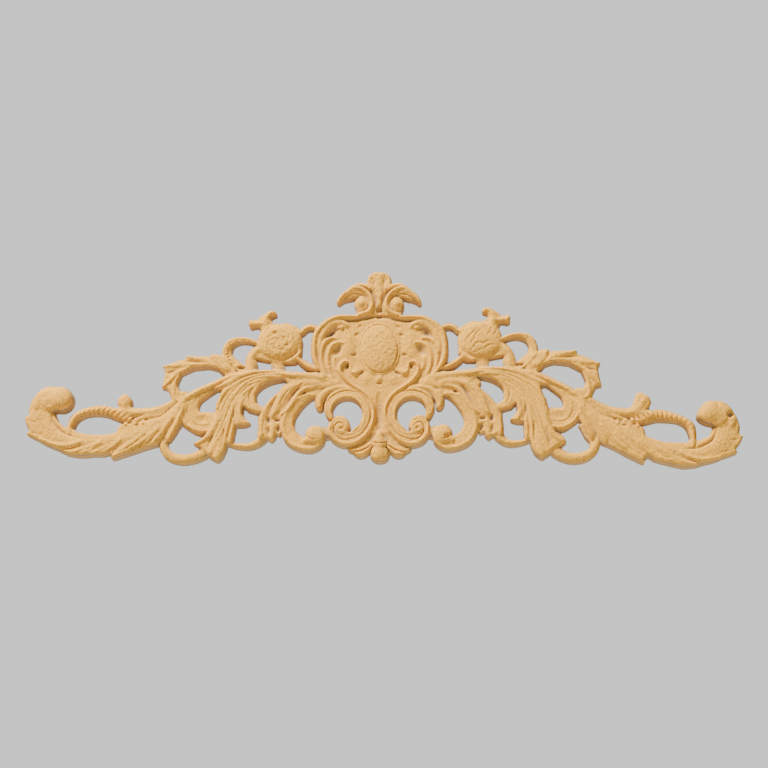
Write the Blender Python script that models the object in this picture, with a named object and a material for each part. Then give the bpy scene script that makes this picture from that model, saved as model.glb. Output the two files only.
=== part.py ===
"""Flexible moulded frieze: a pierced scroll and acanthus ornament with a flat back.

It hangs upright in the XZ plane with its back on y = 0 and its carving towards -Y.
The left half is drawn in units of about a millimetre at the front face; the right half
is its mirror image, moved a little where the two halves differ. The depth at each place
comes from rounded strands, ridges, domes, pits and grooves laid over one another.
"""

import math

import bmesh
import bpy
import numpy as np

LENGTH = 0.508
HEIGHT = 0.1430
DEPTH = 0.0150
# thickness of the plain edge that stands on the wall, before the carving rounds over
EDGE = 0.0078
# how softly one piece of carving runs into the next
FILLET = 0.0016

# faces left after thinning
FACES = 9400
# samples between one end and the other
SAMPLES_ALONG = 440
# height of the tallest dome in the drawing, and the heights above in its units
TALLEST = 15.0
LOW_EDGE = TALLEST * EDGE / DEPTH
SOFT_JOIN = TALLEST * FILLET / DEPTH
# the drawing lies inside a sheet that reaches this far from its middle, across and up
SHEET = (285.0, 85.0)
# it is seen a little from the right and from below, so it grows by these shares a unit those ways
NEARER_RIGHT = 0.000034
NEARER_BELOW = 0.000156
# place of the axis of the ornament, and a place well past it
AXIS = -0.6
BEYOND_AXIS = 40.0
# the axis leans by this share a unit of height
LEAN = 0.016
# reach over which the broad forms wear into one another, and over which the outline rounds over
SOFTNESS = 0.45
RIM_ROUND = 1.4
# a flute this wide has its full rise
FULL_FLUTE = 1.5
FAR = 1e3
# share of a cell that the outline keeps from its corners
NO_SLIVER = 0.12
# no front is lower than this share of the edge, and the back is level again within this share of it
LEAST_SHARE = 0.3
NEARLY_FLAT = 0.12


def smooth(q):
    q = np.clip(q, 0.0, 1.0)
    return q * q * (3.0 - 2.0 * q)


def curve(rows, steps=10):
    """A smooth line through the rows: cubic pieces whose tangents weigh each neighbour by its distance"""
    p = np.array(rows, float)
    if len(p) == 2:
        return p[0] + np.linspace(0, 1, steps + 1)[:, None] * (p[1] - p[0])
    gap = np.sqrt(np.maximum(np.hypot(*np.diff(p[:, :2], axis=0).T), 1e-6))
    slope = np.diff(p, axis=0) / gap[:, None]
    inner = (slope[:-1] * gap[1:, None] + slope[1:] * gap[:-1, None]) / (gap[1:] + gap[:-1])[:, None]
    tangent = np.vstack([2 * slope[0] - inner[0], inner, 2 * slope[-1] - inner[-1]])
    out = []
    for i in range(len(gap)):
        q = np.linspace(0, 1, steps, endpoint=False)[:, None]
        a, b, m, n = p[i], p[i + 1], tangent[i] * gap[i], tangent[i + 1] * gap[i]
        out.append(a + q * m + q * q * (3 * (b - a) - 2 * m - n) + q ** 3 * (2 * (a - b) + m + n))
    return np.vstack(out + [p[-1:]])


def section(knots, u):
    """Height across a strand, smooth between its knots of place and height"""
    at, high = zip(*sorted(knots))
    h = np.full(u.shape, float(high[0]))
    for u0, u1, h0, h1 in zip(at, at[1:], high, high[1:]):
        h += (h1 - h0) * smooth((u - u0) / (u1 - u0))
    return h


def averaged(field, held, reach):
    """The field blurred along rows and columns, with only the held samples counting"""
    span = int(3 * reach) + 1
    weights = np.exp(-0.5 * (np.arange(-span, span + 1) / max(reach, 1e-6)) ** 2)
    for axis in (0, 1):
        total, weight = np.zeros(field.shape), np.full(field.shape, 1e-9)
        for step, w in zip(range(-span, span + 1), weights):
            total += w * np.roll(np.where(held, field, 0.0), step, axis)
            weight += w * np.roll(held.astype(float), step, axis)
        field = total / weight
        held = weight > 1e-6
    return field


class Relief:
    """A height for each sample of the front, and how far inside the outline the sample is"""

    def __init__(self, x, z, right, pitch):
        self.x, self.z, self.right, self.pitch = x, z, right, pitch
        self.only = None
        self.inside = np.full(x.shape, -FAR)
        self.height = np.zeros(x.shape)

    def near(self, box, reach):
        (x0, z0), (x1, z1) = box
        close = (self.x > x0 - reach) & (self.x < x1 + reach)
        close &= (self.z > z0 - reach) & (self.z < z1 + reach)
        return np.nonzero(close if self.only is None else close & self.only)

    def follow(self, line, reach):
        """The samples near a line, with their distance to its left and the line's columns there"""
        at = self.near((line[:, :2].min(0), line[:, :2].max(0)), reach)
        px, pz = self.x[at], self.z[at]
        best = np.full(px.shape, np.inf)
        place, side = np.zeros(px.shape), np.ones(px.shape)
        for i, (a, b) in enumerate(zip(line[:, :2], line[1:, :2])):
            dx, dz = b - a
            ox, oz = px - a[0], pz - a[1]
            q = np.clip((ox * dx + oz * dz) / max(dx * dx + dz * dz, 1e-9), 0, 1)
            d2 = (ox - q * dx) ** 2 + (oz - q * dz) ** 2
            closer = d2 < best
            best = np.where(closer, d2, best)
            place = np.where(closer, i + q, place)
            side = np.where(closer, np.where(dx * oz - dz * ox >= 0, 1.0, -1.0), side)
        keep = best < reach * reach
        at = tuple(a[keep] for a in at)
        place, away = place[keep], (side * np.sqrt(best))[keep]
        columns = [np.interp(place, np.arange(len(line)), line[:, c]) for c in range(2, line.shape[1])]
        return at, away, columns

    def lay(self, at, inside, high, round_over, fillet=SOFT_JOIN):
        """Adds material: the higher of what is there and what is laid, which rounds over at its border"""
        q = np.clip(inside / round_over, 0, 1)
        high = LOW_EDGE + (high - LOW_EDGE) * np.sqrt(1 - (1 - q) ** 2)
        was = self.height[at]
        blend = np.maximum(fillet - np.abs(was - high), 0) ** 2 / (4 * fillet)
        new = np.maximum(was, high) + np.where(was > 0, blend, 0)
        self.height[at] = np.where(inside > 0, new, was)
        self.inside[at] = np.maximum(self.inside[at], inside)

    def strand(self, rows, knots, round_over=2.0):
        """A band along a line; a row is x, z and half width, or the half widths to its left and right"""
        line = curve([(row[0], row[1], row[2], row[-1]) for row in rows])
        at, away, (left, right) = self.follow(line, line[:, 2:].max() + 1.5)
        width = np.maximum(np.where(away > 0, left, right), 0.05)
        u = away / width
        high = section(knots, np.clip(u, -1, 1))
        self.lay(at, width - np.abs(away), high, round_over)

    def oval(self, x, z, rx, rz, turn, reach):
        """The samples near an oval, with their distance from its middle as a share of its own"""
        at = self.near(((x, z), (x, z)), reach)
        c, s = math.cos(math.radians(turn)), math.sin(math.radians(turn))
        dx, dz = self.x[at] - x, self.z[at] - z
        return at, np.hypot((dx * c + dz * s) / rx, (dz * c - dx * s) / rz)

    def boss(self, x, z, rx, rz, low, high, turn=0.0, power=0.5, round_over=2.0):
        """A domed oval"""
        at, out = self.oval(x, z, rx, rz, turn, max(rx, rz) + 1.5)
        dome_high = low + (high - low) * np.clip(1 - out ** 2, 0, 1) ** power
        self.lay(at, (1 - out) * min(rx, rz), dome_high, round_over)

    def swell(self, x, z, rx, rz, rise, turn=0.0):
        """A soft mound on what is there, or with a rise below 0 a hollow"""
        at, out = self.oval(x, z, rx, rz, turn, max(rx, rz))
        self.height[at] += rise * smooth(1 - out)

    def pit(self, x, z, rx, rz, deep, turn=0.0):
        at, out = self.oval(x, z, rx, rz, turn, max(rx, rz) * 1.5)
        self.height[at] -= deep * smooth(1.5 - out)

    def plate(self, rows, high, round_over=2.0):
        """A level area in a closed outline of straight runs; points on the axis are taken across it"""
        rows = [(BEYOND_AXIS if x == 0 else x, z) for x, z in rows]
        line = np.array(rows + rows[:1], float)
        at = self.near((line.min(0), line.max(0)), 1.5)
        px, pz = self.x[at], self.z[at]
        best = np.full(px.shape, np.inf)
        odd = np.zeros(px.shape, bool)
        for (ax, az), (bx, bz) in zip(line, line[1:]):
            dx, dz = bx - ax, bz - az
            q = np.clip(((px - ax) * dx + (pz - az) * dz) / max(dx * dx + dz * dz, 1e-9), 0, 1)
            best = np.minimum(best, (px - ax - q * dx) ** 2 + (pz - az - q * dz) ** 2)
            if az != bz:
                odd ^= ((az > pz) != (bz > pz)) & (px < (bx - ax) * (pz - az) / (bz - az) + ax)
        inside = np.where(odd, np.sqrt(best), -np.sqrt(best))
        self.lay(at, inside, np.full(inside.shape, float(high)), round_over)

    def flutes(self, lines, rise):
        """Soft ridges on what is there, or valleys; where they meet, the stronger counts"""
        most = np.zeros(self.x.shape)
        for rows in lines:
            line = curve(rows)
            at, away, (width,) = self.follow(line, line[:, 2].max() + 0.3)
            width = np.maximum(width, 0.05)
            high = np.minimum(width / FULL_FLUTE, 1) * smooth(1 - np.abs(away) / width)
            most[at] = np.maximum(most[at], high)
        self.height += rise * most

    def groove(self, rows, deep, floor=LOW_EDGE):
        """A cut along a line; a row is x, z and half width"""
        line = curve(rows)
        at, away, (width,) = self.follow(line, line[:, 2].max() + 0.5)
        width = np.maximum(width, 0.05)
        cut = deep * np.minimum(width / line[:, 2].max(), 1) * smooth(1 - np.abs(away) / width)
        self.height[at] = np.maximum(self.height[at] - cut, np.minimum(self.height[at], floor))

    def soften(self, reach):
        """Wears the carving down: every height becomes an average over its neighbours on the piece"""
        held = self.inside > 0
        self.height = np.where(held, averaged(self.height, held, reach / self.pitch), self.height)

    def rim_distance(self, reach):
        """How far each sample is from the outline of the whole piece, up to a reach"""
        span = int(reach / self.pitch) + 1
        outside = self.inside <= 0
        away = np.where(outside, np.maximum(self.inside, -self.pitch), 2 * reach)
        least = np.full(self.x.shape, float(reach))
        for i in range(-span, span + 1):
            for j in range(-span, span + 1):
                step = self.pitch * math.hypot(i, j)
                if step < reach + self.pitch:
                    least = np.minimum(least, step + np.roll(away, (i, j), (0, 1)))
        return np.where(outside, 0.0, np.maximum(least, 0.0))

    def round_rim(self, reach, low):
        """Rounds the carving over towards the outline of the whole piece"""
        q = self.rim_distance(reach) / reach
        edge = np.minimum(self.height, low)
        self.height = edge + (self.height - edge) * np.sqrt(1 - (1 - q) ** 2)


def dome(high, fall=1.6):
    """The section of a rounded band"""
    return [(-1, high - fall), (0, high), (1, high - fall)]


# both halves share the axis this near it, and each has its own this much further out
ONE_AXIS = 35
TWO_HALVES = 25
# how loosely the right half follows its places, and how near the axis it starts to
SLACK = 60
NO_PULL = 15
# where places of the right half sit against the mirror image of the left: across, up, outwards, up
RIGHT_HALF = (
    (15, 60, -0.6, 0), (26, 52, -0.9, -0.2), (15, 0, -0.6, 0), (15, -60, -0.6, 0), (45, 33, -0.6, 0.8),
    (48, -25, -0.8, 1.2), (14, -30, -0.6, 0.2), (57, -35, -2.0, 1.2), (69, -35, -0.6, 1.6),
    (60, -45, -1.9, 1.2), (66, -28, -0.6, 1.5), (73, 36, -1.0, 2.2), (80, 10, -0.4, 2.4),
    (90, 33, -0.9, 3.4), (55, 18, 0, 1.0), (47, 16, -0.5, 0.8),
    (80, -15, -0.5, 2.5), (85, -52, -1.0, 2.0), (100, -44, -2.4, 2.5), (108, -58, -2.6, 2.5),
    (114, -63, -1.2, 2.0), (130, -63, -4.0, 1.2), (87, -40, 1.0, 2.5), (91.5, -35, -0.4, 2.6),
    (98.5, -38, -0.8, 2.6), (95, -26, -1.0, 2.2),
    (131, -50, -0.6, 1.6), (148, -50, 0, 1.5), (154, -55, -1.3, 1.0), (139, -39, -0.5, 3.0),
    (115, -19, 0.6, 3.5), (118, -26, 2.4, 3.5),
    (128, -22, 0.6, 3.0), (110, 17, -0.2, 3.4), (97, 6, 0.3, 2.3), (116, 15, -1.0, 3.6),
    (137, 14.5, 1.6, 4.2),
    (154.5, 5, 1.9, 2.3), (155.5, -10, 2.0, 2.0), (149, -19, 2.2, 2.0), (143, -8, 1.8, 1.8),
    (138, -12, 1.4, 3.0), (113, -1, 2.4, 3.0),
    (165, -57, -3.0, 0.4), (172, -61.5, -3.0, -1.3), (184, -66, -3.2, -3.4), (188, -61.5, -3.3, -1.2),
    (196, -66, -2.0, -4.9), (170, -27, 0.5, 0.2), (182, -16, 3.8, 1.2),
    (190, -22, 5.0, -1.0), (195, -28, 3.0, -2.0), (215, -34, 2.8, -4.2), (221, -40, 2.5, -4.4),
    (184, -40, 2.5, -1.6),
    (198, -37.5, 0.5, -4.5), (200, -49.5, 0, -4.8), (216, -48, 2.6, -6.9), (222.5, -48.5, 1.5, -9.0),
    (231, -41, 4.5, -8.6),
    (221, -30, 7.4, -9.9), (233, -20.5, 8.0, -9.2), (245, -27, 6.2, -11.0), (252, -42, 5.8, -12.8),
    (231, -46, 4.8, -11.4), (249, -56, 2.6, -12.2),
    (238, -63, -1.0, -11.8), (222, -68, 1.0, -8.0), (213, -69, 0, -7.7), (205, -68, -1.0, -6.0),
)


def spread(r2):
    """How the pull of a place falls off with the square of the distance to it"""
    return r2 * np.log(r2 + 1e-9)


def drawing_place(x, z):
    """Where each place of the sheet lies in the drawing of the left half"""
    nearer = 1 - NEARER_RIGHT * x + NEARER_BELOW * z
    x, z = (x + LEAN * z) / nearer + AXIS, z / nearer
    across = np.abs(x)
    middle = 1 - np.clip((across - ONE_AXIS) / TWO_HALVES, 0, 1)
    at = np.array([row[:2] for row in RIGHT_HALF], float)
    n = len(at)
    gap = ((at[:, None] - at[None]) ** 2).sum(2)
    system = np.zeros((n + 3, n + 3))
    system[:n, :n] = spread(gap) + SLACK * np.eye(n)
    system[:n, n:] = np.column_stack([np.ones(n), at])
    system[n:, :n] = system[:n, n:].T
    wanted = np.zeros((n + 3, 2))
    wanted[:n] = [row[2:] for row in RIGHT_HALF]
    pull = np.linalg.solve(system, wanted)
    out = pull[n, 0] + pull[n + 1, 0] * across + pull[n + 2, 0] * z
    up = pull[n, 1] + pull[n + 1, 1] * across + pull[n + 2, 1] * z
    for (ax, az), (wo, wu) in zip(at, pull[:n]):
        k = spread((across - ax) ** 2 + (z - az) ** 2)
        out = out + wo * k
        up = up + wu * k
    fade = np.clip(across / NO_PULL, 0, 1)
    right = x > AXIS
    mx = np.where(right, (out - AXIS) * fade - (x - AXIS), x - AXIS * middle)
    return np.minimum(mx, 0), np.where(right, z - up * fade, z)


def centre(r):
    # field of the cartouche, then its rolled border
    r.plate([(0, 39), (-16, 38), (-30, 38.3), (-39.5, 34), (-46.2, 26.6), (-48.5, 16), (-47.0, 5),
             (-41, -2.5), (-30, -9), (-18, -15), (-9, -22), (-7.5, -34), (-9, -44), (0, -52)], 9.4, 1.5)
    r.strand([(-15, 37.2, 1.6), (-23, 37.2, 1.9), (-30, 36.7, 2.2), (-38.2, 32.4, 2.4),
              (-44.2, 25.4, 2.5), (-46.0, 16, 2.5), (-45.0, 6.5, 2.4), (-40.5, -1, 1.8),
              (-37, -4.5, 1.3)], dome(12.0, 1.6))
    # broad lip at the top left that curls over a pocket
    r.strand([(-42, 12, 1.6), (-41.5, 21, 2.8), (-38.2, 28, 3.6), (-33.5, 32.4, 3.4), (-27.5, 33.4, 2.8),
              (-23.0, 31.0, 2.2)], dome(11.0, 1.0))
    r.swell(-33.4, 25.6, 7.0, 3.6, -3.0, 40)
    r.boss(-26.4, 29.4, 2.6, 2.0, 9, 11.2, 20)
    # nested flutes of the left side
    r.strand([(-37.4, -2.5, 1.0), (-40.6, 6, 1.7), (-40.4, 14.5, 1.9), (-37.6, 20.0, 1.7),
              (-33.4, 22.2, 1.3), (-29.5, 21.6, 0.8)], dome(11.4, 1.2))
    r.strand([(-32.6, -4.5, 1.0), (-35.8, 3, 1.9), (-35.8, 11.2, 2.1), (-33, 17.0, 1.9),
              (-28.8, 19.2, 1.4), (-24.6, 18.4, 0.8)], dome(11.2, 1.2))
    r.strand([(-28.5, -1.5, 1.2), (-31.3, 3.5, 1.7), (-31.0, 9.0, 1.6)], dome(10.6, 1.0))
    r.swell(-29.2, 13.4, 6.4, 3.8, -2.4, 60)
    r.swell(-21.5, 17, 7.5, 15, 1.2)
    # oval boss with its raised border
    r.boss(AXIS, 13.0, 12.8, 15.8, 10.2, 13.0, power=0.6, round_over=1.0)
    # long rim that runs from its own small curl round the big volute to the eye
    r.strand(RIM, dome(12.3, 1.8))
    r.strand([(-23.2, 5.4, 0.9), (-20.2, 3.2, 1.2), (-19.8, -0.6, 1.5), (-17.0, -2.6, 1.9)], dome(11.2))
    r.swell(-15.6, -1.0, 4.4, 3.6, 1.4)
    r.swell(-9, -6.0, 8, 6, 0.7, 20)
    r.swell(AXIS, -6.0, 2.2, 4.0, 1.2)


def centre_lines(r):
    # rim round the oval, clearest at its lower right, with the shadow line inside it
    around = [(AXIS + 12.1 * np.cos(a), 13.0 + 15.1 * np.sin(a), 0.8) for a in np.arange(0, 6.3, 0.3)]
    r.flutes([around], -0.9)
    r.flutes([[(AXIS + (x - AXIS) * 1.09, 13.0 + (z - 13.0) * 1.07, 0.9) for x, z, _ in around]], 0.8)
    r.pit(-22.4, 3.0, 1.0, 2.4, 2.0, -8)
    r.pit(-12.6, -2.0, 2.2, 0.9, 1.4, 35)
    r.pit(-17.9, 10.6, 1.7, 0.9, 1.5, 8)
    r.pit(-15.8, 24.6, 1.6, 1.1, 0.9, 25)
    r.pit(-13.6, 30.4, 1.6, 1.0, 0.7, 40)
    r.pit(AXIS, -9.4, 1.3, 0.9, 1.5)
    r.groove([(-24.6, 29.8, 0.5), (-27.6, 31.2, 0.9), (-31.2, 30.4, 0.9)], 1.2)
    r.groove([(-24.4, 28.0, 0.4), (-27.4, 28.6, 0.8), (-30.0, 27.8, 0.7)], 1.0)
    # shadow line under the crown, and the valley between the volutes
    r.groove([(-24, 34.3, 0.7), (-18, 34.4, 1.4), (-12, 35.4, 1.8), (-5, 36.8, 1.9), (0.6, 37.2, 1.7)],
             2.0, 8.0)
    r.groove([(AXIS, -16, 1.0), (AXIS, -24, 3.0), (AXIS, -34, 4.0), (AXIS, -43, 2.6)], 1.7, 7.6)


def volute(r):
    # leaf over the volute, then its broad band with a line round the eye
    r.strand([(-42.3, -26.0, 2.6), (-42.0, -20.5, 3.7), (-36.5, -14.6, 3.2), (-28.5, -12.3, 2.4),
              (-20, -12.6, 1.2)], dome(11.0, 1.4))
    r.strand(BAND, [(-1, 10.2), (-0.84, 11.6), (-0.45, 11.2), (0.0, 10.7), (0.45, 11.0), (0.85, 10.8),
                    (1, 10.0)], 1.6)
    r.boss(-26.8, -40.8, 5.4, 5.2, 10.0, 12.0, power=0.6)
    r.boss(-30.8, -9.4, 3.4, 3.0, 9.6, 10.4)
    # shell at the foot
    r.plate([(0, -28), (-3.5, -37), (-8.5, -45), (-16, -51), (-23.8, -53.2), (-20.8, -55.8), (-10, -57),
             (0, -57)], 9.0, 1.5)
    r.strand([(-3.5, -49, 1.0), (-9, -53.5, 1.9), (-16, -56.0, 2.1), (-21.2, -55.3, 1.3)], dome(10.0))
    r.strand([(-3, -50, 1.0), (-7.5, -55, 2.0), (-12.5, -58.4, 2.5), (-16.8, -57.8, 1.6)], dome(10.6))
    r.boss(-13.0, -58.3, 4.1, 2.4, 8.8, 10.6, 12)
    r.strand([(AXIS, -50, 2.6), (AXIS, -54, 3.6), (AXIS, -57.4, 5.4), (AXIS, -60, 4.4)], dome(11.0, 1.4))
    r.boss(AXIS, -58.2, 6.3, 6.2, 9.4, 11.8, power=0.6)
    # crest above the shell
    r.plate([(0, -42.5), (-1.2, -45.5), (-3.2, -48.8), (-4.6, -50.2), (0, -50.6)], 11.2, 1.5)


def volute_lines(r):
    r.groove([(-14.6, -45.8, 0.4), (-20.5, -48.4, 0.8), (-26.5, -48.6, 0.9), (-31.0, -45.2, 1.0),
              (-31.8, -40.6, 1.0), (-29.4, -37.4, 0.9), (-25.8, -37.8, 0.8), (-24.6, -40.6, 0.7)],
             1.5, 8.0)
    r.groove([(-20, -13.4, 0.4), (-13.2, -17.2, 0.7), (-8.2, -22.8, 0.8), (-6.1, -30, 0.9),
              (-7.5, -37.4, 0.9), (-11.4, -43.6, 0.8), (-17, -48.0, 0.4)], 1.3, 8.0)
    r.groove([(-36.8, -27.0, 0.4), (-36.4, -22.6, 0.8), (-31.6, -17.6, 0.9), (-24.5, -15.0, 0.9),
              (-17, -15.8, 0.7), (-12.4, -18.8, 0.4)], 1.0)
    r.groove([(-13.6, -24.6, 0.4), (-11.6, -30.0, 0.8), (-12.2, -36.4, 0.9), (-15.6, -41.6, 0.8),
              (-20.0, -43.8, 0.4)], 0.8)
    r.pit(-26.9, -41.3, 1.4, 1.2, 1.5)
    r.groove([(AXIS, -51.5, 0.5), (AXIS, -56.5, 0.8), (AXIS, -60, 0.4)], 1.0)
    r.groove([(-4.6, -53.6, 0.4), (-6.6, -57.4, 0.9), (-7.0, -60.6, 0.7)], 1.6, 8.0)
    r.groove([(-4.6, -51.4, 0.4), (-10.5, -55.4, 0.8), (-17.5, -57.4, 0.6)], 1.3, 8.0)
    r.groove([(AXIS, -51.6, 0.7), (-3, -51.3, 0.9), (-5.5, -50.3, 0.7)], 1.6, 8.0)
    for x in (-0.6, -2.3, -4.0):
        r.boss(x, -49.9, 0.9, 0.9, 10.6, 12.0)


def crown(r):
    r.plate([(0, 36.5), (-16.2, 37.2), (-16.6, 43), (-16, 47), (-13, 52), (-6, 59), (0, 66)], 9.4, 2.5)
    # middle leaf with its rib
    r.plate([(0, 44), (-2.2, 50), (-5.5, 56), (-8.9, 60), (-8.6, 63.4), (-7.2, 66.4), (-4.6, 68.2),
             (-2.0, 68.8), (0, 68.8)], 11.0, 1.6)
    r.swell(-4.4, 62.6, 3.2, 6.5, -1.3, 12)
    r.strand([(AXIS, 44, 1.4), (AXIS, 52, 1.3), (AXIS, 60, 0.9), (AXIS, 66, 0.6)], dome(11.8, 1.4))
    # side leaf, and the lip that runs in from it and curls round the bead
    r.strand([(-9, 56.2, 4.4), (-15, 55.9, 5.0), (-20.5, 53.4, 4.0), (-25.3, 51.0, 2.8),
              (-28.6, 47.6, 1.5)], [(-1, 10.6), (-0.5, 11.3), (0.2, 10.2), (0.7, 9.4), (1, 8.4)])
    r.strand([(-18, 57.4, 1.2), (-12.5, 56.6, 1.8), (-7.8, 53.4, 2.1), (-5.2, 48.8, 2.1),
              (-5.0, 44.6, 2.2), (-7.2, 41.0, 2.2), (-10.6, 39.4, 1.8), (-14.4, 38.6, 1.4)],
             dome(11.9, 1.4))
    r.boss(-12.0, 46.0, 5.6, 5.6, 9.4, 10.6, power=0.7)
    r.boss(-12.6, 46.4, 3.0, 3.0, 10.2, 12.4, power=0.7)


def crown_lines(r):
    r.groove([(-1.9, 46, 0.4), (-2.7, 52, 0.9), (-3.2, 58.5, 1.0), (-3.0, 63, 0.6)], 0.7)
    r.groove([(-15.7, 59.0, 0.4), (-10.5, 57.6, 0.9), (-6.6, 55.0, 1.0), (-4.0, 50.6, 0.8),
              (-3.0, 46.4, 0.5)], 1.1, 8.0)
    r.groove([(-20, 53.2, 0.4), (-15.0, 52.8, 0.9), (-10.6, 51.4, 1.1), (-7.8, 47.6, 1.1),
              (-7.8, 43.8, 1.0), (-10.4, 41.4, 0.9), (-14.0, 40.8, 0.5)], 0.8, 8.0)
    r.groove([(-26.6, 48.2, 0.4), (-22, 51.6, 0.8), (-16.5, 53.4, 0.5)], 0.9)
    r.pit(AXIS, 41.6, 1.3, 2.4, 2.6)
    r.pit(AXIS, 37.0, 1.3, 1.3, 1.2)


def flower(r):
    r.plate([(-56.5, 29), (-61, 31.6), (-66, 33.4), (-70.5, 32.4), (-75.2, 33.2), (-76.6, 35.6),
             (-75.9, 37.2), (-73.2, 38.2), (-72.4, 39.4), (-73.8, 41.2), (-76.8, 41.7), (-79.6, 40.6),
             (-81.4, 38.7), (-84.6, 37.4), (-85.8, 35.4), (-88.8, 35.2), (-91.0, 36.0), (-92.6, 33.9),
             (-92.2, 31.0), (-90.2, 29.2), (-88.4, 30.8), (-85.4, 30.0), (-84, 27.5), (-84.5, 22),
             (-88, 19), (-87.5, 14), (-90, 9), (-86, 7.4), (-80, 6.4), (-73, 5.0), (-66, 4.6), (-60, 4.8),
             (-57, 6.8), (-55.1, 12), (-54.3, 20)], 9.2, 1.8)
    r.boss(-71.2, 19.6, 15.2, 12.6, 9.4, 12.2, power=0.45)
    # bud stem with its two knobs
    r.strand([(-78, 27, 4.5), (-80.5, 32.5, 3.6), (-80, 36.5, 3.2), (-77.4, 39.2, 2.0),
              (-74.6, 40.0, 1.2)], dome(10.8))
    r.strand([(-80, 32.5, 2.8), (-85, 32.4, 2.0), (-89.4, 32.2, 2.4)], dome(10.6))
    r.boss(-90.8, 32.6, 1.7, 2.8, 9, 10.8)
    r.boss(-76.3, 40.0, 3.2, 1.6, 9, 11.0)
    # calyx down to the stem, and the strap leaf beside it
    r.strand([(-84, 15, 3.2), (-88.2, 12.0, 3.6), (-90.6, 8.3, 3.6), (-90.8, 4, 4.6), (-91, 0, 4.6)],
             dome(10.4))
    r.strand([(-73, 8, 4.4), (-72.0, 3.6, 4.7), (-72, -2, 5.0)], dome(9.0, 0.8))
    r.strand([(-65.5, 5.6, 1.2), (-61, 7.6, 1.7), (-56.8, 11.2, 1.6), (-55.6, 12.6, 0.8)], dome(10.8))
    r.strand([(-59.2, 9.4, 1.6), (-55.4, 6.0, 2.3), (-50, 2.6, 2.7), (-44, 0.6, 2.4)], dome(10.6))
    # arch to the cartouche
    r.strand([(-58.5, 27, 2.0), (-55.5, 26.4, 1.9), (-52.6, 29.0, 2.0), (-49.6, 30.3, 2.0),
              (-45, 29.6, 2.1)], dome(9.8))
    r.strand([(-57.0, 28, 1.2), (-56.4, 20, 1.2), (-57, 13, 1.3)], dome(9.6))
    # loop, plain on the right and beaded on the left
    r.strand(LOOP, [(-1, 9.4), (-0.55, 10.8), (-0.1, 10.0), (1, 8.8)])


def flower_lines(r):
    # left: overlapping petals with a few deep dots; right: a leaf with curling veins
    r.only = ~r.right
    r.flutes(petals(), 0.35)
    for x, z, size in ((-73.8, 25.3, 1.1), (-65.0, 17.3, 0.5), (-70.2, 15.9, 0.5), (-76.2, 17.3, 0.4),
                       (-65, 12.7, 0.4), (-67.5, 22.3, 0.5)):
        r.pit(x, z, size * 1.2, size, 0.6 + 0.4 * size)
    for x, z, size in beads():
        r.boss(x, z, size, size, 10.4, 11.7, power=0.6)
    r.only = r.right
    for rows in ([(-60.0, 17.5, 0.5), (-65.4, 21.6, 0.9), (-68.4, 26.2, 0.9), (-74.2, 28.6, 0.5)],
                 [(-67.5, 11.5, 0.4), (-72.5, 14.5, 0.9), (-77.6, 18.6, 0.9), (-80.6, 24.5, 0.5)],
                 [(-60.4, 11.4, 0.4), (-64.6, 14.6, 0.7), (-69.4, 18.6, 0.8), (-72.6, 23.0, 0.4)],
                 [(-76.0, 11.0, 0.4), (-80.4, 14.6, 0.8), (-83.0, 19.0, 0.4)],
                 [(-62.4, 24.6, 0.4), (-66.4, 28.8, 0.8), (-71.0, 31.0, 0.4)]):
        r.groove(rows, 0.6)
    r.only = None
    r.pit(-97.5, 1.3, 2.6, 1.2, 2.0)


def petals():
    """Two rings of curved ridges round the middle of the left flower"""
    lines = []
    for start, turns in ((3.0, 5), (7.6, 8)):
        for turn in np.arange(turns) * 2 * np.pi / turns + 0.35 * start:
            steps = ((start, turn - 0.5, 1.2), (start + 2.0, turn, 2.2), (start + 2.6, turn + 0.5, 1.2))
            lines.append([(-71 + reach * np.cos(a), 19.5 + 0.85 * reach * np.sin(a), wide)
                          for reach, a, wide in steps])
    return lines


def run_along(line):
    """How far along the line each of its points is"""
    return np.concatenate([[0], np.cumsum(np.hypot(*np.diff(line[:, :2], axis=0).T))])


def beads():
    """Places and sizes of the beads along the outer side of the loop"""
    line = curve([(-87.5, 18.8, 0.6), (-95.8, 20.2, 0.7), (-102.5, 19.4, 0.8), (-106.6, 16.2, 0.9),
                  (-107.8, 11.8, 1.1), (-106.0, 6.8, 1.4), (-103.6, 2.8, 1.8)])
    run = run_along(line)
    found = []
    at = 0.0
    while at < run[-1]:
        x, z, size = (np.interp(at, run, line[:, i]) for i in range(3))
        found.append((x, z, size))
        at += 2.0 * size
    return found


def scroll_a(r):
    # broad leaf that lies on the scroll, and the scroll's round end
    r.strand([(-46.5, -18.0, 1.5), (-52.6, -19.8, 3.2), (-58.9, -25.6, 3.7, 4.4),
              (-63.8, -33.5, 4.0, 4.7), (-64.7, -41, 4.7, 5.3), (-61.6, -47.5, 5.3, 5.9),
              (-55, -51.4, 5.3), (-48.3, -51.8, 5.2), (-43.8, -48.9, 5.2)], [(-1, 10.8), (-0.75, 11.8),
                                                                             (-0.3, 10.6), (0.5, 10.0),
                                                                             (1, 9.4)])
    r.boss(-45.4, -46.0, 7.5, 7.5, 9.5, 13.2)
    r.strand([(-52.5, -49.8, 3.0), (-48.6, -48.4, 4.6), (-46, -46.6, 5.4)], dome(12.0, 1.6))
    r.strand([(-43, -42.6, 3.2), (-38.8, -43.7, 4.4), (-35.6, -43.5, 3.5)], dome(9.8, 1.0))


def scroll_a_lines(r):
    r.groove([(-52.6, -43.2, 0.5), (-51.6, -46.2, 0.8), (-49.0, -48.6, 0.8), (-45.4, -49.2, 0.5)], 1.0)
    r.only = r.right
    r.pit(-48.8, -47.2, 1.8, 1.5, 1.3)
    r.only = None


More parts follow.
